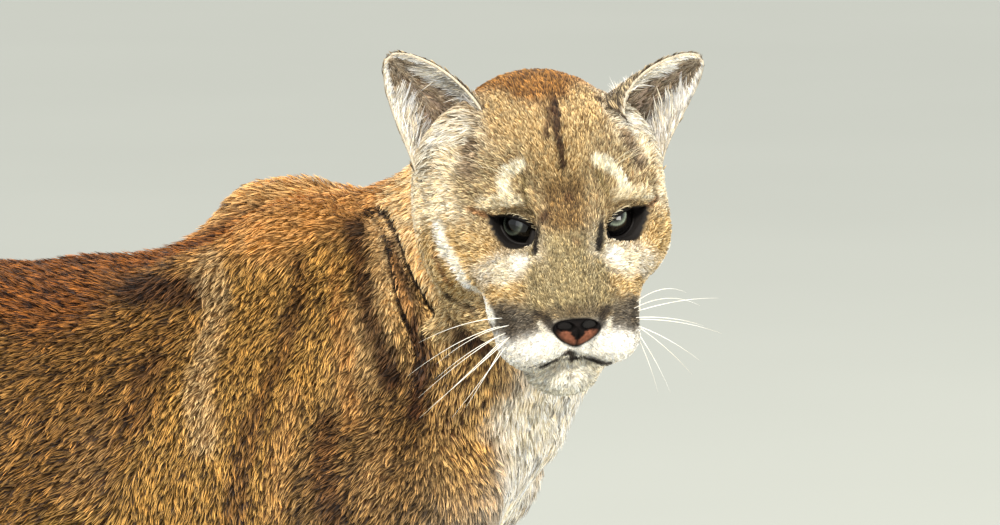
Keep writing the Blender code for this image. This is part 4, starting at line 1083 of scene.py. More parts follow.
# Materials
def addNode(tree, kind, settings=None, links=None):
    item = tree.nodes.new(kind)
    for key, value in (settings or {}).items():
        if key in item.inputs:
            item.inputs[key].default_value = value
        else:
            setattr(item, key, value)
    for key, source in (links or {}).items():
        tree.links.new(source, item.inputs[key])
    return item


def newMaterial(name, shaderSettings):
    material = bpy.data.materials.new(name)
    material.use_nodes = True
    tree = material.node_tree
    shader = tree.nodes["Principled BSDF"]
    for key, value in shaderSettings.items():
        shader.inputs[key].default_value = value
    return material, tree, shader


def flecked(tree, colour, place, scale, low, high, detail=3.0):
    # a colour made darker and lighter by noise, and the noise itself
    noise = addNode(tree, "ShaderNodeTexNoise", {"Scale": scale, "Detail": detail}, {"Vector": place})
    light = addNode(tree, "ShaderNodeMapRange", {
        "From Min": 0.3, "From Max": 0.7, "To Min": low, "To Max": high,
    }, {"Value": noise.outputs[0]})
    mixed = addNode(tree, "ShaderNodeVectorMath", {"operation": "SCALE"},
                    {0: colour, "Scale": light.outputs[0]})
    return mixed.outputs[0], noise.outputs[0]


furFinish = {"roughness": 0.60, "ior": 1.55, "specular": 0.22, "sheen": 0.04, "streak": 0.30}


def furMaterial():
    # guard hair: keratin, satin, with a fine streak along each tuft and a paler tip
    material, tree, shader = newMaterial("short guard hair", {
        "Roughness": furFinish["roughness"], "IOR": furFinish["ior"],
        "Specular IOR Level": furFinish["specular"],
        "Sheen Weight": furFinish["sheen"], "Sheen Roughness": 0.4,
    })
    tint = addNode(tree, "ShaderNodeAttribute", {"attribute_name": "tint"})
    strand = addNode(tree, "ShaderNodeAttribute", {"attribute_name": "strand"})
    # three hairs across a tuft of 1.5 mm, each about 0.08 mm in life and drawn coarser to show
    across = addNode(tree, "ShaderNodeVectorMath", {"operation": "MULTIPLY"}, {0: strand.outputs["Vector"]})
    across.inputs[1].default_value = (5.0, 0.8, 1.0)
    streak = furFinish["streak"]
    colour, _ = flecked(tree, tint.outputs["Color"], across.outputs[0], 1.0, 1 - streak, 1 + streak, 1.0)
    tree.links.new(colour, shader.inputs["Base Color"])
    return material


def skinMaterial():
    # hide under the coat, seen only as the dark between tufts, where its tint is painted shade, and bare
    # black rims
    material, tree, shader = newMaterial("haired hide", {"Roughness": 0.7, "Specular IOR Level": 0.25})
    tint = addNode(tree, "ShaderNodeAttribute", {"attribute_name": "tint"})
    place = addNode(tree, "ShaderNodeTexCoord")
    # undercoat about 1 mm thick locks
    colour, fleck = flecked(tree, tint.outputs["Color"], place.outputs["Object"], 900.0, 0.7, 1.25)
    bump = addNode(tree, "ShaderNodeBump", {"Strength": 0.5, "Distance": 0.0006}, {"Height": fleck})
    tree.links.new(colour, shader.inputs["Base Color"])
    tree.links.new(bump.outputs[0], shader.inputs["Normal"])
    return material


furSurface = furMaterial()
skinSurface = skinMaterial()


# Mesh pieces
def placed(obj, slot, *nodes):
    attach(obj, "root")
    if nodes:
        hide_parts(*nodes)
    return obj


def newMesh(name, points, faces, material):
    # faces: one array of corners for each, all of one size, or a list of such arrays
    blocks = [np.asarray(block) for block in (faces if isinstance(faces, list) else [faces])]
    mesh = bpy.data.meshes.new(name)
    mesh.vertices.add(len(points))
    mesh.vertices.foreach_set("co", (np.asarray(points) + slide).astype(np.float32).ravel())
    sizes = np.concatenate([np.full(len(block), block.shape[1]) for block in blocks])
    corners = np.concatenate([block.ravel() for block in blocks])
    mesh.loops.add(len(corners))
    mesh.loops.foreach_set("vertex_index", corners.astype(np.int32))
    mesh.polygons.add(len(sizes))
    mesh.polygons.foreach_set("loop_start", np.concatenate([[0], np.cumsum(sizes)[:-1]]).astype(np.int32))
    mesh.polygons.foreach_set("use_smooth", np.ones(len(sizes), bool))
    mesh.update(calc_edges=True)
    mesh.materials.append(material)
    obj = bpy.data.objects.new(name, mesh)
    bpy.context.scene.collection.objects.link(obj)
    return obj


def setTint(mesh, colours):
    attribute = mesh.color_attributes.new("tint", "FLOAT_COLOR", "POINT")
    full = np.ones((len(colours), 4), np.float32)
    full[:, :3] = colours
    attribute.data.foreach_set("color", full.ravel())


def setMap(mesh, name, perPoint):
    corners = np.empty(len(mesh.loops), np.int32)
    mesh.loops.foreach_get("vertex_index", corners)
    layer = mesh.uv_layers.new(name=name, do_init=False)
    layer.uv.foreach_set("vector", perPoint[corners].astype(np.float32).ravel())


class Hide:
    # triangles of a skin, with their areas, normals and places on the unwrap
    def __init__(self, obj, offset):
        mesh = obj.data
        mesh.calc_loop_triangles()
        count = len(mesh.loop_triangles)
        corners, loops = np.empty(count * 3, np.int32), np.empty(count * 3, np.int32)
        mesh.loop_triangles.foreach_get("vertices", corners)
        mesh.loop_triangles.foreach_get("loops", loops)
        self.corners, loops = corners.reshape(-1, 3), loops.reshape(-1, 3)
        self.points = meshArrays(mesh)[0] - offset
        normals = np.empty(len(mesh.vertices) * 3)
        mesh.vertices.foreach_get("normal", normals)
        self.normals = normals.reshape(-1, 3)
        unwrap = np.empty(len(mesh.loops) * 2)
        mesh.uv_layers["OFBake"].uv.foreach_get("vector", unwrap)
        self.unwrap = unwrap.reshape(-1, 2)[loops]
        a, b, c = (self.points[self.corners[:, place]] for place in range(3))
        self.areas = np.linalg.norm(np.cross(b - a, c - a), axis=1) / 2
        self.middles = (a + b + c) / 3

    def roots(self, perCm, random):
        # evenly scattered roots: places, normals and places on the unwrap
        ends = np.cumsum(self.areas * perCm * 1e4)
        count = int(ends[-1])
        at = (np.arange(count) + random.random(count)) * ends[-1] / count
        pick = np.minimum(np.searchsorted(ends, at), len(ends) - 1)
        one, two = random.random(count), random.random(count)
        flip = one + two > 1
        one[flip], two[flip] = 1 - one[flip], 1 - two[flip]
        share = np.stack([1 - one - two, one, two], axis=1)
        corners = self.corners[pick]
        points = (self.points[corners] * share[..., None]).sum(1)
        normals = (self.normals[corners] * share[..., None]).sum(1)
        normals /= np.linalg.norm(normals, axis=1, keepdims=True) + 1e-9
        return points, normals, (self.unwrap[pick] * share[..., None]).sum(1)


def unit(vectors):
    return vectors / (np.linalg.norm(vectors, axis=1, keepdims=True) + 1e-9)


coat = {
    "share": 1.0,
    "clump": 6,  # tufts that lean together
    "gather": 0.42,  # how far their tips close up
    "stray": 0.17,  # radians that a tuft strays from the lie
    "clumpStray": 0.16,  # and its clump
    "wave": 0.20,  # and whole patches
    "waveSize": 0.022,
    "roll": 0.60,
    "bend": (0.42, 0.93),  # how far along its length its middle and tip lie
    "sunk": 0.0006,  # root under the skin
    # dark tufts keep the root colour, and with it its painted shade
    "dark": 0.34,  # share of tufts that keep the root's colour
    "darkTint": (0.03, 0.18),  # from root to tip colour, at the middle and the tip of such a tuft
    "fullTint": (0.45, 1.15),  # and of any other
    "bright": (0.32, 0.20, 0.18),  # change of light by clump, tuft and patch
    "warm": (0.03, -0.05),  # more red and less blue in some clumps
    "patch": 0.0015,  # half the size of a tuft on the unwrap
    "most": 64000,  # tufts in one piece
}


def tuftMesh(name, roots, normals, way, length, depth, width, tip, root, unwrap, random, level=None):
    # each tuft is a bent blade of two root, two middle and one tip point
    count = len(roots)
    way = unit(way - normals * (way * normals).sum(1, keepdims=True))
    leaders = random.random(count) < 1.0 / coat["clump"]
    leaders[0] = True
    chiefs = np.flatnonzero(leaders)
    tree = kdtree.KDTree(len(chiefs))
    for place, chief in enumerate(chiefs):
        tree.insert(roots[chief], place)
    tree.balance()
    chief = chiefs[np.array([tree.find(point)[1] for point in roots])]
    own, shared = random.normal(size=(count, 3)), random.normal(size=(count, 3))[chief]
    aside = np.cross(normals, way)
    angle = own[:, 0] * coat["stray"] + shared[:, 0] * coat["clumpStray"]
    angle = angle + cloud(roots, coat["waveSize"], 7) * coat["wave"]
    way = way * np.cos(angle)[:, None] + aside * np.sin(angle)[:, None]
    aside = np.cross(normals, way)
    reach = length * (1 + 0.14 * own[:, 1] + 0.10 * shared[:, 1]).clip(0.55, 1.5)
    rise = (0.80 + 0.16 * shared[:, 2] + 0.10 * own[:, 2]).clip(0.35, 1.15)
    bendMiddle, bendTip = coat["bend"]
    middles = roots + way * (reach * bendMiddle)[:, None] + normals * (depth * 0.55 * rise)[:, None]
    tips = roots + way * (reach * bendTip)[:, None] + normals * (depth * rise)[:, None]
    if level is not None:
        middles += normals * (depth * (0.62 * rise - 1) - level(middles))[:, None].clip(-0.004, 0.004)
        tips += normals * (depth * (rise - 1) - level(tips))[:, None].clip(-0.006, 0.006)
    middles += (middles[chief] - middles) * coat["gather"] * 0.35
    tips += (tips[chief] - tips) * coat["gather"]
    roll = random.normal(size=count) * coat["roll"]
    edge = aside * np.cos(roll)[:, None] + normals * np.sin(roll)[:, None]
    half = (width / 2 * (1 + 0.18 * own[:, 0]).clip(0.6, 1.5))[:, None]
    base = roots - normals * coat["sunk"]
    points = np.stack([base - aside * half, base + aside * half, middles - edge * half * 0.85,
                       middles + edge * half * 0.85, tips], axis=1).reshape(-1, 3)
    points[:, 2] = np.maximum(points[:, 2], 0.0)
    first = np.arange(count)[:, None] * 5
    faces = (first[:, None, :] + np.array(((0, 1, 3), (0, 3, 2), (2, 3, 4)))).reshape(-1, 3)
    obj = newMesh(name, points, faces, furSurface)
    byClump, byTuft, byPatch = coat["bright"]
    bright = byClump * shared[:, 0] + byTuft * own[:, 1] + byPatch * cloud(roots, 0.016, 9)
    bright = np.exp(bright - 0.05)[:, None]
    red, blue = coat["warm"]
    warm = 1 + np.stack([red * shared[:, 1], 0 * own[:, 0], blue * shared[:, 1]], axis=1)
    dim = random.random(count) < coat["dark"]
    middle, end = (
        root + (tip - root) * np.where(dim, dark, full)[:, None]
        for dark, full in zip(coat["darkTint"], coat["fullTint"])
    )
    # root points take the root colour, partly painted shade deep in the coat; middles and tips run towards
    # the tip colour
    tint = np.stack([root, root, middle, middle, end], axis=1)
    tint = tint * (bright * warm)[:, None, :]
    tint /= np.maximum(tint.max(axis=2, keepdims=True), 1.0)
    setTint(obj.data, tint.reshape(-1, 3).clip(0, 1))
    turn = random.random(count)
    patch = coat["patch"]
    corners = np.array(((-0.4, -1), (0.4, -1), (-0.35, 0), (0.35, 0), (0, 1))) * patch
    setMap(obj.data, "OFBake", (unwrap[:, None, :] + corners).reshape(-1, 2).clip(0, 1))
    strand = np.tile(np.array(((0, 0), (1, 0), (0.1, 0.5), (0.9, 0.5), (0.5, 1)), float), (count, 1))
    strand[:, 0] += np.repeat(turn, 5) * 90
    setMap(obj.data, "strand", strand)
    return obj


def dressSkin():
    # unwrap, colour and finish of the skin, which stands for every node of flesh
    mesh = skinPiece.data
    mesh.transform(Matrix.Translation(slide))
    bpy.context.view_layer.objects.active = skinPiece
    skinPiece.select_set(True)
    mesh.uv_layers.new(name="OFBake")
    bpy.ops.object.mode_set(mode="EDIT")
    bpy.ops.mesh.select_all(action="SELECT")
    bpy.ops.uv.smart_project(angle_limit=math.radians(66), island_margin=0.002)
    bpy.ops.object.mode_set(mode="OBJECT")
    skinPiece.select_set(False)
    mesh.polygons.foreach_set("use_smooth", np.ones(len(mesh.polygons), bool))
    mesh.materials.append(skinSurface)
    hide = Hide(skinPiece, slide)
    way, values = coatAt(hide.points)
    tip, root = coloured(hide.points, values)
    # painted shade between the tufts: the skin takes mostly the roots' dark colour
    colour = root * 0.72 + tip * 0.28
    bare = np.maximum(barePlace(hide.points), 1 - smoothStep(0.001, 0.004, hide.points[:, 2]))[:, None]
    colour = colour * (1 - bare) + np.array(linear("0d0907")) * bare
    setTint(mesh, colour)
    nodes = [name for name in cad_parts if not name.startswith(("ear", "eye", "nose"))]
    placed(skinPiece, "coat", *nodes)
    print("skin dressed:", len(hide.corners), "triangles")
    return hide


hide = dressSkin()


def regionOf(points):
    # pieces of the coat, by place
    local = toFace(points)
    x, y, z = points.T
    region = np.full(len(points), 2)
    region[x < 0.045] = 3
    region[x < -0.160] = 4
    region[(z < 0.375) & (x > 0.10)] = 5
    region[(z < 0.400) & (x < -0.16)] = 6
    tail = np.array([knot[:3] for knot in tailCourse])
    region[(x < -0.50) & (lineDistance(points, tail) < 0.055) & (z > 0.13)] = 7
    region[(region == 7) & (x < tailCourse[6][0] + 0.012 * cloud(points, 0.01, 6))] = 8
    region[(x > 0.27) & (z > 0.50)] = 1
    region[local[:, 0] + local[:, 2] * 0.25 > -0.098] = 0
    region[(z < 0.5) & (region == 0)] = 2
    return region


regionNames = ("Head", "Neck", "Chest", "Loin", "Hips", "ForeLegs", "HindLegs", "Tail", "TailTip")


def shortened(points):
    # the coat thins out and lies flat around the eyes, the mouth and the nose
    share = np.ones(len(points))
    near = np.linalg.norm(points - headPlace, axis=1) < 0.13
    part = points[near]
    local = toFace(part)
    mirrored = local * (1, 0, 1) + np.abs(local) * (0, 1, 0)
    away = np.minimum(openingDistance(part, -1), openingDistance(part, 1)) * 0.8
    away = np.minimum(away, lineDistance(mirrored, lipLine))
    away = np.minimum(away, nosePadDistance(local) * 1.3)
    share[near] = 0.40 + 0.60 * smoothStep(0.002, 0.010, away)
    folded = nearFolds(points, 0.018)
    share[folded] *= 0.40 + 0.60 * smoothStep(0.003, 0.011, foldDistance(points[folded]))
    return share


def growCoat():
    random = np.random.default_rng(11)
    density = coatAt(hide.middles)[1][:, 3] * coat["share"]
    density[hide.middles[:, 2] < 0.0012] = 0
    roots, normals, unwrap = hide.roots(density, random)
    keep = barePlace(roots) < 0.3
    roots, normals, unwrap = roots[keep], normals[keep], unwrap[keep]
    way, values = coatAt(roots)
    tip, root = coloured(roots + unit(way) * values[:, :1] * 0.55, values)
    short = shortened(roots)
    region = regionOf(roots)
    for place, title in enumerate(regionNames):
        chosen = np.flatnonzero(region == place)
        parts = max(1, math.ceil(len(chosen) / coat["most"]))
        for turn in range(parts):
            part = chosen[turn * len(chosen) // parts:(turn + 1) * len(chosen) // parts]
            name = "coat" + title + ("" if parts == 1 else "ABCDEF"[turn])
            obj = tuftMesh(
                name, roots[part], normals[part], way[part], values[part, 0] * short[part],
                values[part, 1] * short[part], values[part, 2],
                tip[part], root[part], unwrap[part], random,
                level=lambda places: bodyDistance(places) - relief(places),
            )
            placed(obj, "dark_coat" if title == "TailTip" else "coat")
            print(name, len(part), "tufts")


growCoat()


# Ears
ears = {
    # foot in the head's frame, lean outward, lean back and turn outward in degrees, side
    "earRight": ((-0.062, -0.056, 0.046), -37, -16, -20, -1, "ear_right"),
    "earLeft": ((-0.062, 0.047, 0.048), 54, -16, 24, 1, "ear_left"),
}
earShape = {"length": 0.082, "halfWidth": 0.033, "thick": 0.0016, "across": 60, "up": 60}


def earSheet(across, up):
    # a cupped leaf that opens to x and stands along z
    width = earShape["halfWidth"] * (1.0 - 0.22 * up) * (1.0 - up**2.8 * 0.995) ** 0.60
    opening = np.radians(125 - 92 * up**0.6)
    radius = width / np.sin(np.minimum(opening, math.pi / 2))
    angle = across * opening
    lean = -0.012 * up + 0.016 * up * up
    x = radius * (1.0 - np.cos(angle)) + lean - 0.5 * earShape["halfWidth"] * (1 - up)
    return np.stack([x, radius * np.sin(angle), up * earShape["length"]], axis=-1)


def earSurface(across, up):
    # place, way into the cup and way to the tip
    step = 0.004
    up = np.clip(up, 0, 0.992)
    place = earSheet(across, up)
    sideways = earSheet(across + step, up) - earSheet(across - step, up)
    upward = earSheet(across, up + step * 0.5) - earSheet(across, up - step * 0.5)
    return place, unit(np.cross(sideways, upward)), unit(upward), unit(sideways)


def earMatrix(settings):
    foot, outward, back, turn = settings[:4]
    stand = headMatrix @ Matrix.Translation(foot) @ turned(-outward, "X")
    return stand @ turned(back, "Y") @ turned(turn, "Z")


earFur = {
    # tufts to the square centimetre, mm long, deep and wide, tip and root colour
    "back": {"perCm": 60, "length": 7.0, "depth": 2.0, "width": 0.9, "tip": "8a7c66", "root": "3a3026"},
    "cup": {"perCm": 46, "length": 7.0, "depth": 1.6, "width": 0.6, "tip": "b8aa94", "root": "66543f"},
    "rim": {"perCm": 230, "length": 6.5, "depth": 2.2, "width": 0.75, "tip": "ffffff", "root": "e2dac6"},
    "fringe": {"perCm": 80, "length": 26.0, "depth": 6.5, "width": 0.68, "tip": "ffffff", "root": "ddd3bc"},
}


def buildEar(name):
    settings = ears[name]
    side, node = settings[4:]
    matrix = np.array(earMatrix(settings))
    random = np.random.default_rng(5 + side)
    columns, levels = earShape["across"], earShape["up"]
    across, up = np.meshgrid(np.linspace(-1, 1, columns), np.linspace(0, 0.992, levels), indexing="ij")
    place, inward, upward, sideways = earSurface(across.ravel(), up.ravel())
    half = earShape["thick"] / 2
    points = np.concatenate([place - inward * half, place + inward * half])
    grid = np.arange(columns * levels).reshape(columns, levels)
    quads = np.stack([grid[:-1, :-1], grid[1:, :-1], grid[1:, 1:], grid[:-1, 1:]], axis=-1).reshape(-1, 4)
    border = np.concatenate([grid[:-1, 0], grid[-1, :-1], grid[:0:-1, -1], grid[0, :0:-1]])
    after = np.roll(border, -1)
    behind = columns * levels
    rim = np.stack([border, border + behind, after + behind, after], axis=1)
    faces = np.concatenate([quads, quads[:, ::-1] + behind, rim])
    world = points @ matrix[:3, :3].T + matrix[:3, 3]
    obj = newMesh(name, world, faces, skinSurface)
    share = np.stack([(across.ravel() + 1) / 2, up.ravel()], axis=1)
    unwrap = np.concatenate([share * (0.46, 0.9) + (0.02, 0.05), share * (0.46, 0.9) + (0.52, 0.05)])
    setMap(obj.data, "OFBake", unwrap)
    outside, inside = np.array(linear("564a3c")), np.array(linear("a08c7a"))
    shade = 0.75 + 0.35 * up.ravel()[:, None]
    edge = 0.8 * smoothStep(0.92, 0.99, np.maximum(np.abs(across.ravel()), up.ravel()))[:, None]
    pale = np.array(linear("d8ccb4"))
    setTint(obj.data, np.concatenate([tone * shade * (1 - edge) + pale * edge for tone in (outside, inside)]))
    bm = bmesh.new()
    bm.from_mesh(obj.data)
    bmesh.ops.recalc_face_normals(bm, faces=bm.faces)
    bm.to_mesh(obj.data)
    bm.free()
    placed(obj, "coat", node)

    area = 2 * earShape["halfWidth"] * earShape["length"] * 1e4 * 1.35 * coat["share"]

    def fur(title, kind, count, across, up, inner, lie, tipColour=None):
        kindSettings = earFur[kind]
        place, inward, upward, sideways = earSurface(across, up)
        way = upward * lie[0][:, None] + sideways * lie[1][:, None]
        normal = inward if inner else -inward
        world = (place + normal * half) @ matrix[:3, :3].T + matrix[:3, 3]
        normal, way = normal @ matrix[:3, :3].T, way @ matrix[:3, :3].T
        share = np.stack([(across + 1) / 2, up], axis=1)
        unwrap = share * (0.46, 0.9) + ((0.52, 0.05) if inner else (0.02, 0.05))
        tip = np.tile(np.array(linear(kindSettings["tip"])), (count, 1)) if tipColour is None else tipColour
        root = np.tile(np.array(linear(kindSettings["root"])), (count, 1))
        sizes = [np.full(count, kindSettings[key] * 0.001) for key in ("length", "depth", "width")]
        fringe = kind == "fringe"
        sizes[0] *= random.uniform(0.6, 1.1, count) if fringe else np.where(up > 0.9, 0.6, 1.0)
        piece = tuftMesh(title, world, normal, way, *sizes, tip, root, unwrap, random)
        placed(piece, "coat")

    count = int(area * earFur["back"]["perCm"])
    across, up = random.uniform(-1, 1, count), random.uniform(0.0, 0.97, count)
    pale, dark = np.array(linear("c8b48c")), np.array(linear(earFur["back"]["tip"]))
    blend = smoothStep(0.55, 0.95, np.abs(across))[:, None]
    fur(name + "Back", "back", count, across, up, False, (np.ones(count), across * -0.3),
        dark + (pale - dark) * blend)
    count = int(area * earFur["cup"]["perCm"])
    across, up = random.uniform(-0.95, 0.95, count), random.uniform(0.1, 0.95, count)
    fur(name + "Cup", "cup", count, across, up, True, (np.ones(count), -across * 0.4))
    count = int(area * 0.16 * earFur["rim"]["perCm"])
    edge = np.where(random.random(count) < 0.5, -1, 1) * (1 - np.abs(random.normal(0, 0.05, count)))
    up = random.random(count) ** 0.8 * 0.97
    fur(name + "Rim", "rim", count, edge, up, True, (np.full(count, 0.9), -np.sign(edge) * 0.55))
    # long pale hairs from the edge that is nearer to the middle of the head, across the cup
    count = int(area * 0.55 * earFur["fringe"]["perCm"])
    near = random.random(count) < 0.72
    inside = -side
    across = np.where(near, inside, -inside) * (1 - np.abs(random.normal(0, 0.16, count))).clip(0, 1)
    up = random.random(count) ** 1.3 * 0.62 + 0.06
    fur(name + "Fringe", "fringe", count, across, up, True,
        (random.uniform(0.55, 1.1, count), -np.sign(across) * 0.8))
    print(name, "done")


for name in ears:
    buildEar(name)


# Eyes
eyes = {
    "gaze": {-1: (-8, 13), 1: (-27, 23)},  # turn and lift from the way the lids face, in degrees
    # painted shade and light on the irises: one iris darkened, the other lightened
    "shade": {-1: 0.42, 1: 1.25},  # the photograph's right eye lies in the shade of its brow
    "iris": 0.0086,
    "bulge": 0.0007,
    "rings": 72,
    "sectors": 96,
}


def eyeMaterial():
    # wet cornea over a grey-green iris, black towards the white of the eye
    material, tree, shader = newMaterial("wet cornea", {
        "Roughness": 0.05, "IOR": 1.376, "Specular IOR Level": 0.4, "Coat Weight": 0.5,
        "Coat Roughness": 0.02,
    })
    polar = addNode(tree, "ShaderNodeAttribute", {"attribute_name": "polar"})
    parts = addNode(tree, "ShaderNodeSeparateXYZ", None, {0: polar.outputs["Vector"]})
    # fibres of the iris, about 0.15 mm apart
    stretch = addNode(tree, "ShaderNodeVectorMath", {"operation": "MULTIPLY"}, {0: polar.outputs["Vector"]})
    stretch.inputs[1].default_value = (60.0, 1.1, 1.0)
    fibre = addNode(tree, "ShaderNodeTexNoise", {"Scale": 1.0, "Detail": 3.0}, {"Vector": stretch.outputs[0]})
    ramp = addNode(tree, "ShaderNodeValToRGB", None, {"Fac": parts.outputs["Y"]})
    stops = ((0.0, "020202"), (0.50, "030303"), (0.56, "1c1e19"), (0.70, "424840"), (0.86, "707868"),
             (0.94, "3c4038"), (1.0, "050404"))
    elements = ramp.color_ramp.elements
    elements[0].position, elements[1].position = stops[0][0], stops[-1][0]
    for at, _ in stops[1:-1]:
        elements.new(at)
    for element, (_, colour) in zip(elements, stops):
        element.color = (*linear(colour), 1.0)
    light = addNode(tree, "ShaderNodeMapRange", {
        "From Min": 0.3, "From Max": 0.7, "To Min": 0.55, "To Max": 1.45,
    }, {"Value": fibre.outputs[0]})
    # painted shade and light: the iris colour scaled by each eye's own factor
    shade = addNode(tree, "ShaderNodeMath", {"operation": "MULTIPLY"},
                    {0: light.outputs[0], 1: parts.outputs["Z"]})
    colour = addNode(tree, "ShaderNodeVectorMath", {"operation": "SCALE"},
                     {0: ramp.outputs["Color"], "Scale": shade.outputs[0]})
    tree.links.new(colour.outputs[0], shader.inputs["Base Color"])
    return material


eyeSurface = eyeMaterial()


def buildEye(name, side, node):
    matrix = np.array(eyeFrames[side])
    turn, lift = (math.radians(angle) for angle in eyes["gaze"][side])
    gaze = np.array((math.cos(turn) * math.cos(lift), math.sin(turn) * math.cos(lift), math.sin(lift)))
    across = unit(np.cross((0, 0, 1), gaze)[None])[0]
    upward = np.cross(gaze, across)
    rings, sectors = eyes["rings"], eyes["sectors"]
    radius = head["eyeRadius"]
    # rings close together over the iris
    polar = np.linspace(0, 1, rings + 1) ** 1.3 * math.pi
    around = np.arange(sectors) * 2 * math.pi / sectors
    limbus = math.asin(eyes["iris"] / radius)
    bulge = eyes["bulge"] * (1 - smoothStep(0, limbus * 1.25, polar))
    points, flat = [gaze * (radius + eyes["bulge"])], [(0.5, 0.0)]
    for tilt, swell in zip(polar[1:-1], bulge[1:-1]):
        out = gaze * math.cos(tilt) + math.sin(tilt) * (
            np.cos(around)[:, None] * across + np.sin(around)[:, None] * upward)
        points.extend(out * (radius + swell))
        reach = radius * math.sin(min(tilt, math.pi / 2)) / eyes["iris"]
        reach = reach if tilt < math.pi / 2 else 2.0
        flat.extend((angle / (2 * math.pi), reach) for angle in around)
    points.append(-gaze * radius)
    flat.append((0.5, 2.0))
    points = np.array(points) @ matrix[:3, :3].T + matrix[:3, 3]
    ring = np.arange(sectors)
    after = np.roll(ring, -1)
    caps = [np.stack([np.zeros(sectors, int), 1 + ring, 1 + after], axis=1)]
    last = 1 + (rings - 2) * sectors
    caps.append(np.stack([np.full(sectors, last + sectors), last + after, last + ring], axis=1))
    quads = []
    for level in range(rings - 2):
        start = 1 + level * sectors
        four = (start + ring, start + sectors + ring, start + sectors + after, start + after)
        quads.append(np.stack(four, axis=1))
    obj = newMesh(name, points, [np.concatenate(caps), np.concatenate(quads)], eyeSurface)
    attribute = obj.data.attributes.new("polar", "FLOAT_VECTOR", "POINT")
    full = np.zeros((len(points), 3), np.float32)
    angle = np.array([item[0] for item in flat])
    full[:, 0], full[:, 1] = np.abs(angle * 2 - 1), [item[1] for item in flat]
    # each eye's factor of painted shade and light, read by the eye's material
    full[:, 2] = eyes["shade"][side]
    attribute.data.foreach_set("vector", full.ravel())
    placed(obj, "eye", node)


buildEye("eyeballRight", -1, "eye_right")
buildEye("eyeballLeft", 1, "eye_left")


# Rims of the lids, whiskers, lashes and brow hairs are tapered tubes
def tubes(name, lines, radii, sides, material, slot):
    points, faces = [], []
    for line, thickness in zip(lines, radii):
        line = np.asarray(line)
        along = unit(np.gradient(line, axis=0))
        side = np.cross(along[0], (0.3, 0.2, 0.9))
        start = len(points)
        for place, way, radius in zip(line, along, thickness):
            side = side - way * (side @ way)
            side /= np.linalg.norm(side)
            other = np.cross(way, side)
            for angle in np.arange(sides) * 2 * math.pi / sides:
                points.append(place + (side * math.cos(angle) + other * math.sin(angle)) * radius)
        for level in range(len(line) - 1):
            for corner in range(sides):
                one, two = start + level * sides + corner, start + level * sides + (corner + 1) % sides
                faces.append((one, two, two + sides, one + sides))
        for level in (0, len(line) - 1):
            first = start + level * sides
            middle = len(points)
            points.append(line[level])
            for corner in range(sides):
                pair = (first + corner, first + (corner + 1) % sides)
                pair = pair[::-1] if level == 0 else pair
                faces.append((*pair, middle, middle))
    quads = np.array([face for face in faces if face[2] != face[3]])
    caps = np.array([face[:3] for face in faces if face[2] == face[3]])
    obj = newMesh(name, np.array(points), [quads, caps], material)
    return placed(obj, slot)


def rimMaterial():
    # bare black lid margin, moist
    material, tree, shader = newMaterial("lid margin", {
        "Base Color": (*linear("0a0706"), 1), "Roughness": 0.50, "IOR": 1.4, "Specular IOR Level": 0.2,
    })
    place = addNode(tree, "ShaderNodeTexCoord")
    pores = addNode(tree, "ShaderNodeTexNoise", {"Scale": 1400.0, "Detail": 2.0},
                    {"Vector": place.outputs["Object"]})
    bump = addNode(tree, "ShaderNodeBump", {"Strength": 0.3, "Distance": 0.0003},
                   {"Height": pores.outputs[0]})
    tree.links.new(bump.outputs[0], shader.inputs["Normal"])
    return material


rimSurface = rimMaterial()
rims = {"radius": 0.0015, "lift": 0.0012, "beyond": 0.0006, "points": 44}


def buildRims(side):
    turn = np.linspace(0, math.pi, rims["points"])
    along = -np.cos(turn) * eyeOpening["half"] * 0.995
    for upper in (True, False):
        line = lidPoints(side, along, upper, rims["lift"], beyond=rims["beyond"])
        thickness = rims["radius"] * (0.7 + 0.5 * np.sin(turn))
        name = ("upper" if upper else "lower") + "Lid" + ("Left" if side > 0 else "Right")
        tubes(name, [line], [thickness], 10, rimSurface, "nose_skin")


for side in (-1, 1):
    buildRims(side)
print("eyes and lids done")


# Nose
def noseMaterial():
    # bare damp leather of the nose: pebbled, pinkish brown below, black above, and painted black in the
    # nostrils as painted shade
    material, tree, shader = newMaterial("damp nose leather", {
        "Roughness": 0.60, "IOR": 1.42, "Specular IOR Level": 0.12,
    })
    tint = addNode(tree, "ShaderNodeAttribute", {"attribute_name": "tint"})
    place = addNode(tree, "ShaderNodeTexCoord")
    # pebbles about 0.6 mm across
    pebble = addNode(tree, "ShaderNodeTexVoronoi", {"Scale": 1500.0}, {"Vector": place.outputs["Object"]})
    colour, _ = flecked(tree, tint.outputs["Color"], place.outputs["Object"], 420.0, 0.7, 1.3)
    bump = addNode(tree, "ShaderNodeBump", {"Strength": 0.55, "Distance": 0.0004},
                   {"Height": pebble.outputs["Distance"]})
    tree.links.new(colour, shader.inputs["Base Color"])
    tree.links.new(bump.outputs[0], shader.inputs["Normal"])
    return material


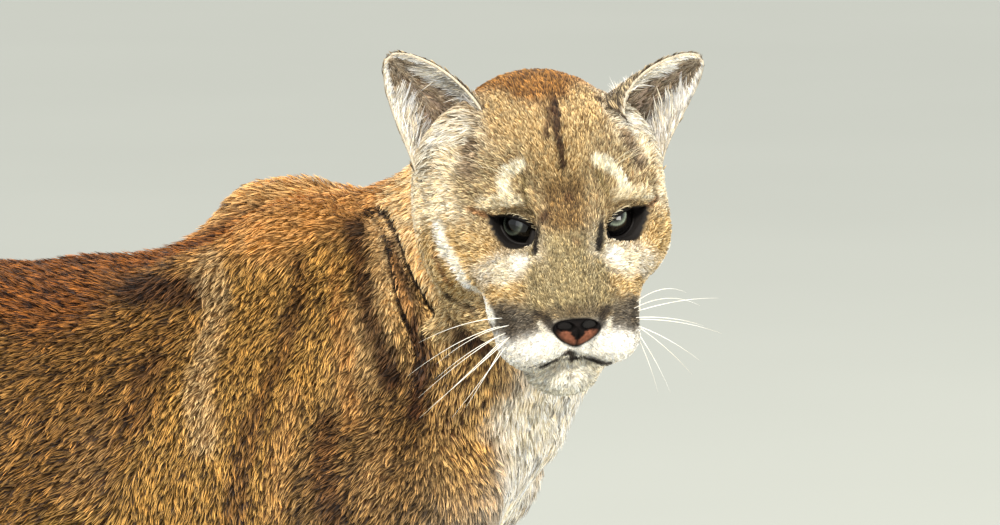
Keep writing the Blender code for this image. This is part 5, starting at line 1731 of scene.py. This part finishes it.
def buildNose():
    ball = bmesh.new()
    bmesh.ops.create_icosphere(ball, subdivisions=6, radius=1.0)
    sphere = np.array([vert.co for vert in ball.verts])
    faces = np.array([[vert.index for vert in face.verts] for face in ball.faces])
    ball.free()
    low = 0.5 - 0.5 * sphere[:, 2]
    width = nosePad["halfWidth"] * (1 - nosePad["taper"] * low * low)
    points = np.stack([sphere[:, 0] * nosePad["thick"] - low * nosePad["setBack"], sphere[:, 1] * width,
                       sphere[:, 2] * nosePad["halfHeight"]], axis=1)
    inHole = np.zeros(len(points))
    lean = math.radians(nosePad["nostrilLean"])
    for side in (-1, 1):
        x, y, z = nosePad["nostril"]
        away = points - (x, y * side, z)
        # comma: the outer end curls up and back
        along = away[:, 1] * side * math.cos(lean) + away[:, 2] * math.sin(lean)
        up = away[:, 2] * math.cos(lean) - away[:, 1] * side * math.sin(lean)
        up = up - 14 * np.maximum(along, 0) ** 2
        reach = np.linalg.norm(np.stack([away[:, 0], along, up]).T / nosePad["nostrilRadii"], axis=1)
        inside = 1 - smoothStep(0.55, 1.15, reach)
        inHole = np.maximum(inHole, inside)
    points[:, 0] -= inHole * nosePad["nostrilDepth"]
    # shallow groove down the middle, under the nostrils
    groove = np.exp(-((points[:, 1] / nosePad["groove"]) ** 2))
    groove = groove * (1 - smoothStep(-0.002, 0.006, points[:, 2]))
    points[:, 0] -= groove * nosePad["groove"]
    # faint ridge between nostrils and the top edge
    points[:, 0] += 0.0006 * np.exp(-(((points[:, 2] - 0.0062) / 0.002) ** 2))
    local = points + np.array(head["noseCentre"])
    obj = newMesh("nosePad", fromFace(local), faces, noseMaterial())
    pink, dark, black = (np.array(linear(text)) for text in ("7e4e3a", "0e0908", "030202"))
    height = points[:, 2] + 0.0010
    height = height + 0.0062 * np.exp(-((points[:, 1] / 0.0040) ** 2))  # the dark dips between the nostrils
    upper = smoothStep(0.0014, 0.0042, height + cloud(points, 0.0016, 5) * 0.0012)[:, None]
    rim = smoothStep(0.62, 0.95, np.linalg.norm(sphere * (0.2, 1.0, 1.0), axis=1))[:, None]
    colour = pink * (1 - upper) + dark * upper
    colour = colour * (1 - rim) + black * 2.2 * rim
    # painted shade: the nostril hollows painted black
    hole = smoothStep(0.15, 0.55, inHole)[:, None]
    colour = colour * (1 - hole) + black * hole
    colour = colour * (1 - groove[:, None] * 0.8)
    setTint(obj.data, colour)
    placed(obj, "nose_skin", "nose_pad")


buildNose()
print("nose done")


def hairMaterial(name, colour):
    # stiff pale bristle, smooth and a little glossy
    material, tree, shader = newMaterial(name, {"Roughness": 0.35, "IOR": 1.55, "Specular IOR Level": 0.5})
    along = addNode(tree, "ShaderNodeTexCoord")
    grain = addNode(tree, "ShaderNodeTexNoise", {"Scale": 60.0, "Detail": 1.0},
                    {"Vector": along.outputs["Object"]})
    ramp = addNode(tree, "ShaderNodeValToRGB", None, {"Fac": grain.outputs[0]})
    for element, text, at in zip(ramp.color_ramp.elements, colour, (0.35, 0.65)):
        element.color, element.position = (*linear(text), 1), at
    tree.links.new(ramp.outputs["Color"], shader.inputs["Base Color"])
    return material


def bristle(root, way, droop, length, count=14):
    at = np.linspace(0, 1, count)[:, None]
    return root + way * (at * length) + droop * (at**2 * length)


def buildWhiskers():
    lines, radii = [], []
    for side in (-1, 1):
        for x, z, lift, sweep, length, droop in whiskers[side]:
            root = onSurface(fromFace([(x, side * 0.046, z)]))[0]
            lift, sweep = math.radians(lift), math.radians(sweep)
            flat = math.cos(lift)
            way = np.array((flat * math.cos(sweep), side * flat * math.sin(sweep), math.sin(lift)))
            lines.append(bristle(root, headTurn @ way, headTurn @ np.array((-0.45, 0, -droop / length)),
                                 length * 0.001))
            radii.append(whiskers["thick"] * np.linspace(1, 0.15, 14))
    tubes("whiskers", lines, radii, 5, hairMaterial("whisker", ("f2ead6", "fffdf4")), "coat")


lashes = {"count": 18, "thick": 0.00022, "lift": 0.0034, "arch": 0.0020, "browHairs": 7}


def buildLashes():
    # pale hairs that arch over the upper lid, and long brow hairs
    random = np.random.default_rng(22)
    lines, radii = [], []
    for side in (-1, 1):
        for at in np.linspace(-0.85, 0.85, lashes["count"]) + random.normal(0, 0.02, lashes["count"]):
            along = np.array([at * eyeOpening["half"]])
            root = lidPoints(side, along, True, lashes["lift"], beyond=lashes["lift"])[0]
            end = along + random.uniform(0.001, 0.0045)
            tip = lidPoints(side, end, True, 0.0050, beyond=random.uniform(0.0016, 0.0036))[0]
            away = root - np.array(eyeFrames[side].translation)
            out = away / np.linalg.norm(away)
            share = np.linspace(0, 1, 6)[:, None]
            lines.append(root + (tip - root) * share + out * (lashes["arch"] * np.sin(share * math.pi)))
            radii.append(np.linspace(lashes["thick"], 0.00005, 6))
        for count in range(lashes["browHairs"]):
            place = (0.002 - 0.002 * count, side * (0.036 + 0.002 * count), 0.040 + random.normal(0, 0.002))
            root = onSurface(fromFace([place]))[0]
            way = headTurn @ np.array((0.75, side * random.uniform(0.1, 0.6), 0.65))
            droop = headTurn @ np.array((-0.3, side * 0.25, -0.25))
            lines.append(bristle(root, way, droop, random.uniform(0.020, 0.040), 8))
            radii.append(np.linspace(lashes["thick"], 0.00004, 8))
    tubes("browHairs", lines, radii, 4, hairMaterial("brow hair", ("d8c8a0", "f2e8cc")), "coat")


buildWhiskers()
buildLashes()
print("whiskers and lashes done")


# Studio
studio = {
    "reach": 260,  # half the floor's side
    "floor": ("9ca09b", "a0a49f"),
    "world": ("e8ebee", 1.0),
    "sun": (-12, 47, 4.1, 12, "fff6e8"),  # azimuth, elevation, strength, softness in degrees and colour
    "lamps": (
        # name, azimuth, elevation, distance, size, power and colour
        ("fill", -10, 8, 5.0, 3.0, 40, "f6f6ff"),
        ("low fill", 62, -7, 4.0, 2.2, 200, "fffaf0"),
        ("rim", 165, 45, 4.5, 2.0, 90, "fff8ec"),
    ),
}


def wayFrom(azimuth, elevation):
    around, up = math.radians(azimuth), math.radians(elevation)
    return Vector((math.sin(around) * math.cos(up), -math.cos(around) * math.cos(up), math.sin(up)))


def addLamp(name, kind, away, distance, colour, power):
    data = bpy.data.lights.new(name, kind)
    data.color, data.energy = linear(colour), power
    lamp = bpy.data.objects.new(name, data)
    bpy.context.scene.collection.objects.link(lamp)
    lamp.location = Vector(head["eyeMiddle"]) + Vector(slide) + away * distance
    lamp.rotation_euler = away.to_track_quat("Z", "Y").to_euler()
    return data


def buildStudio():
    floorMesh = bpy.data.meshes.new("floor")
    reach = studio["reach"]
    corners = [(-reach, -reach, 0), (reach, -reach, 0), (reach, reach, 0), (-reach, reach, 0)]
    floorMesh.from_pydata(corners, [], [(0, 1, 2, 3)])
    floor = bpy.data.objects.new("floor", floorMesh)
    bpy.context.scene.collection.objects.link(floor)
    # matt painted studio floor
    material, tree, shader = newMaterial("matt floor paint", {"Roughness": 0.9, "Specular IOR Level": 0.1})
    place = addNode(tree, "ShaderNodeTexCoord")
    grain = addNode(tree, "ShaderNodeTexNoise", {"Scale": 1.5, "Detail": 2.0},
                    {"Vector": place.outputs["Object"]})
    ramp = addNode(tree, "ShaderNodeValToRGB", None, {"Fac": grain.outputs[0]})
    for element, text in zip(ramp.color_ramp.elements, studio["floor"]):
        element.color = (*linear(text), 1)
    tree.links.new(ramp.outputs["Color"], shader.inputs["Base Color"])
    floorMesh.materials.append(material)

    world = bpy.data.worlds.new("pale room")
    bpy.context.scene.world = world
    world.use_nodes = True
    background = world.node_tree.nodes["Background"]
    background.inputs["Color"].default_value = (*linear(studio["world"][0]), 1)
    background.inputs["Strength"].default_value = studio["world"][1]

    azimuth, elevation, strength, softness, colour = studio["sun"]
    addLamp("sun", "SUN", wayFrom(azimuth, elevation), 8, colour, strength).angle = math.radians(softness)
    for name, azimuth, elevation, distance, size, power, colour in studio["lamps"]:
        addLamp(name, "AREA", wayFrom(azimuth, elevation), distance, colour, power).size = size
    bpy.context.scene.view_settings.view_transform = "Standard"
    bpy.context.scene.view_settings.look = "Medium Contrast"


buildStudio()
print("studio done")
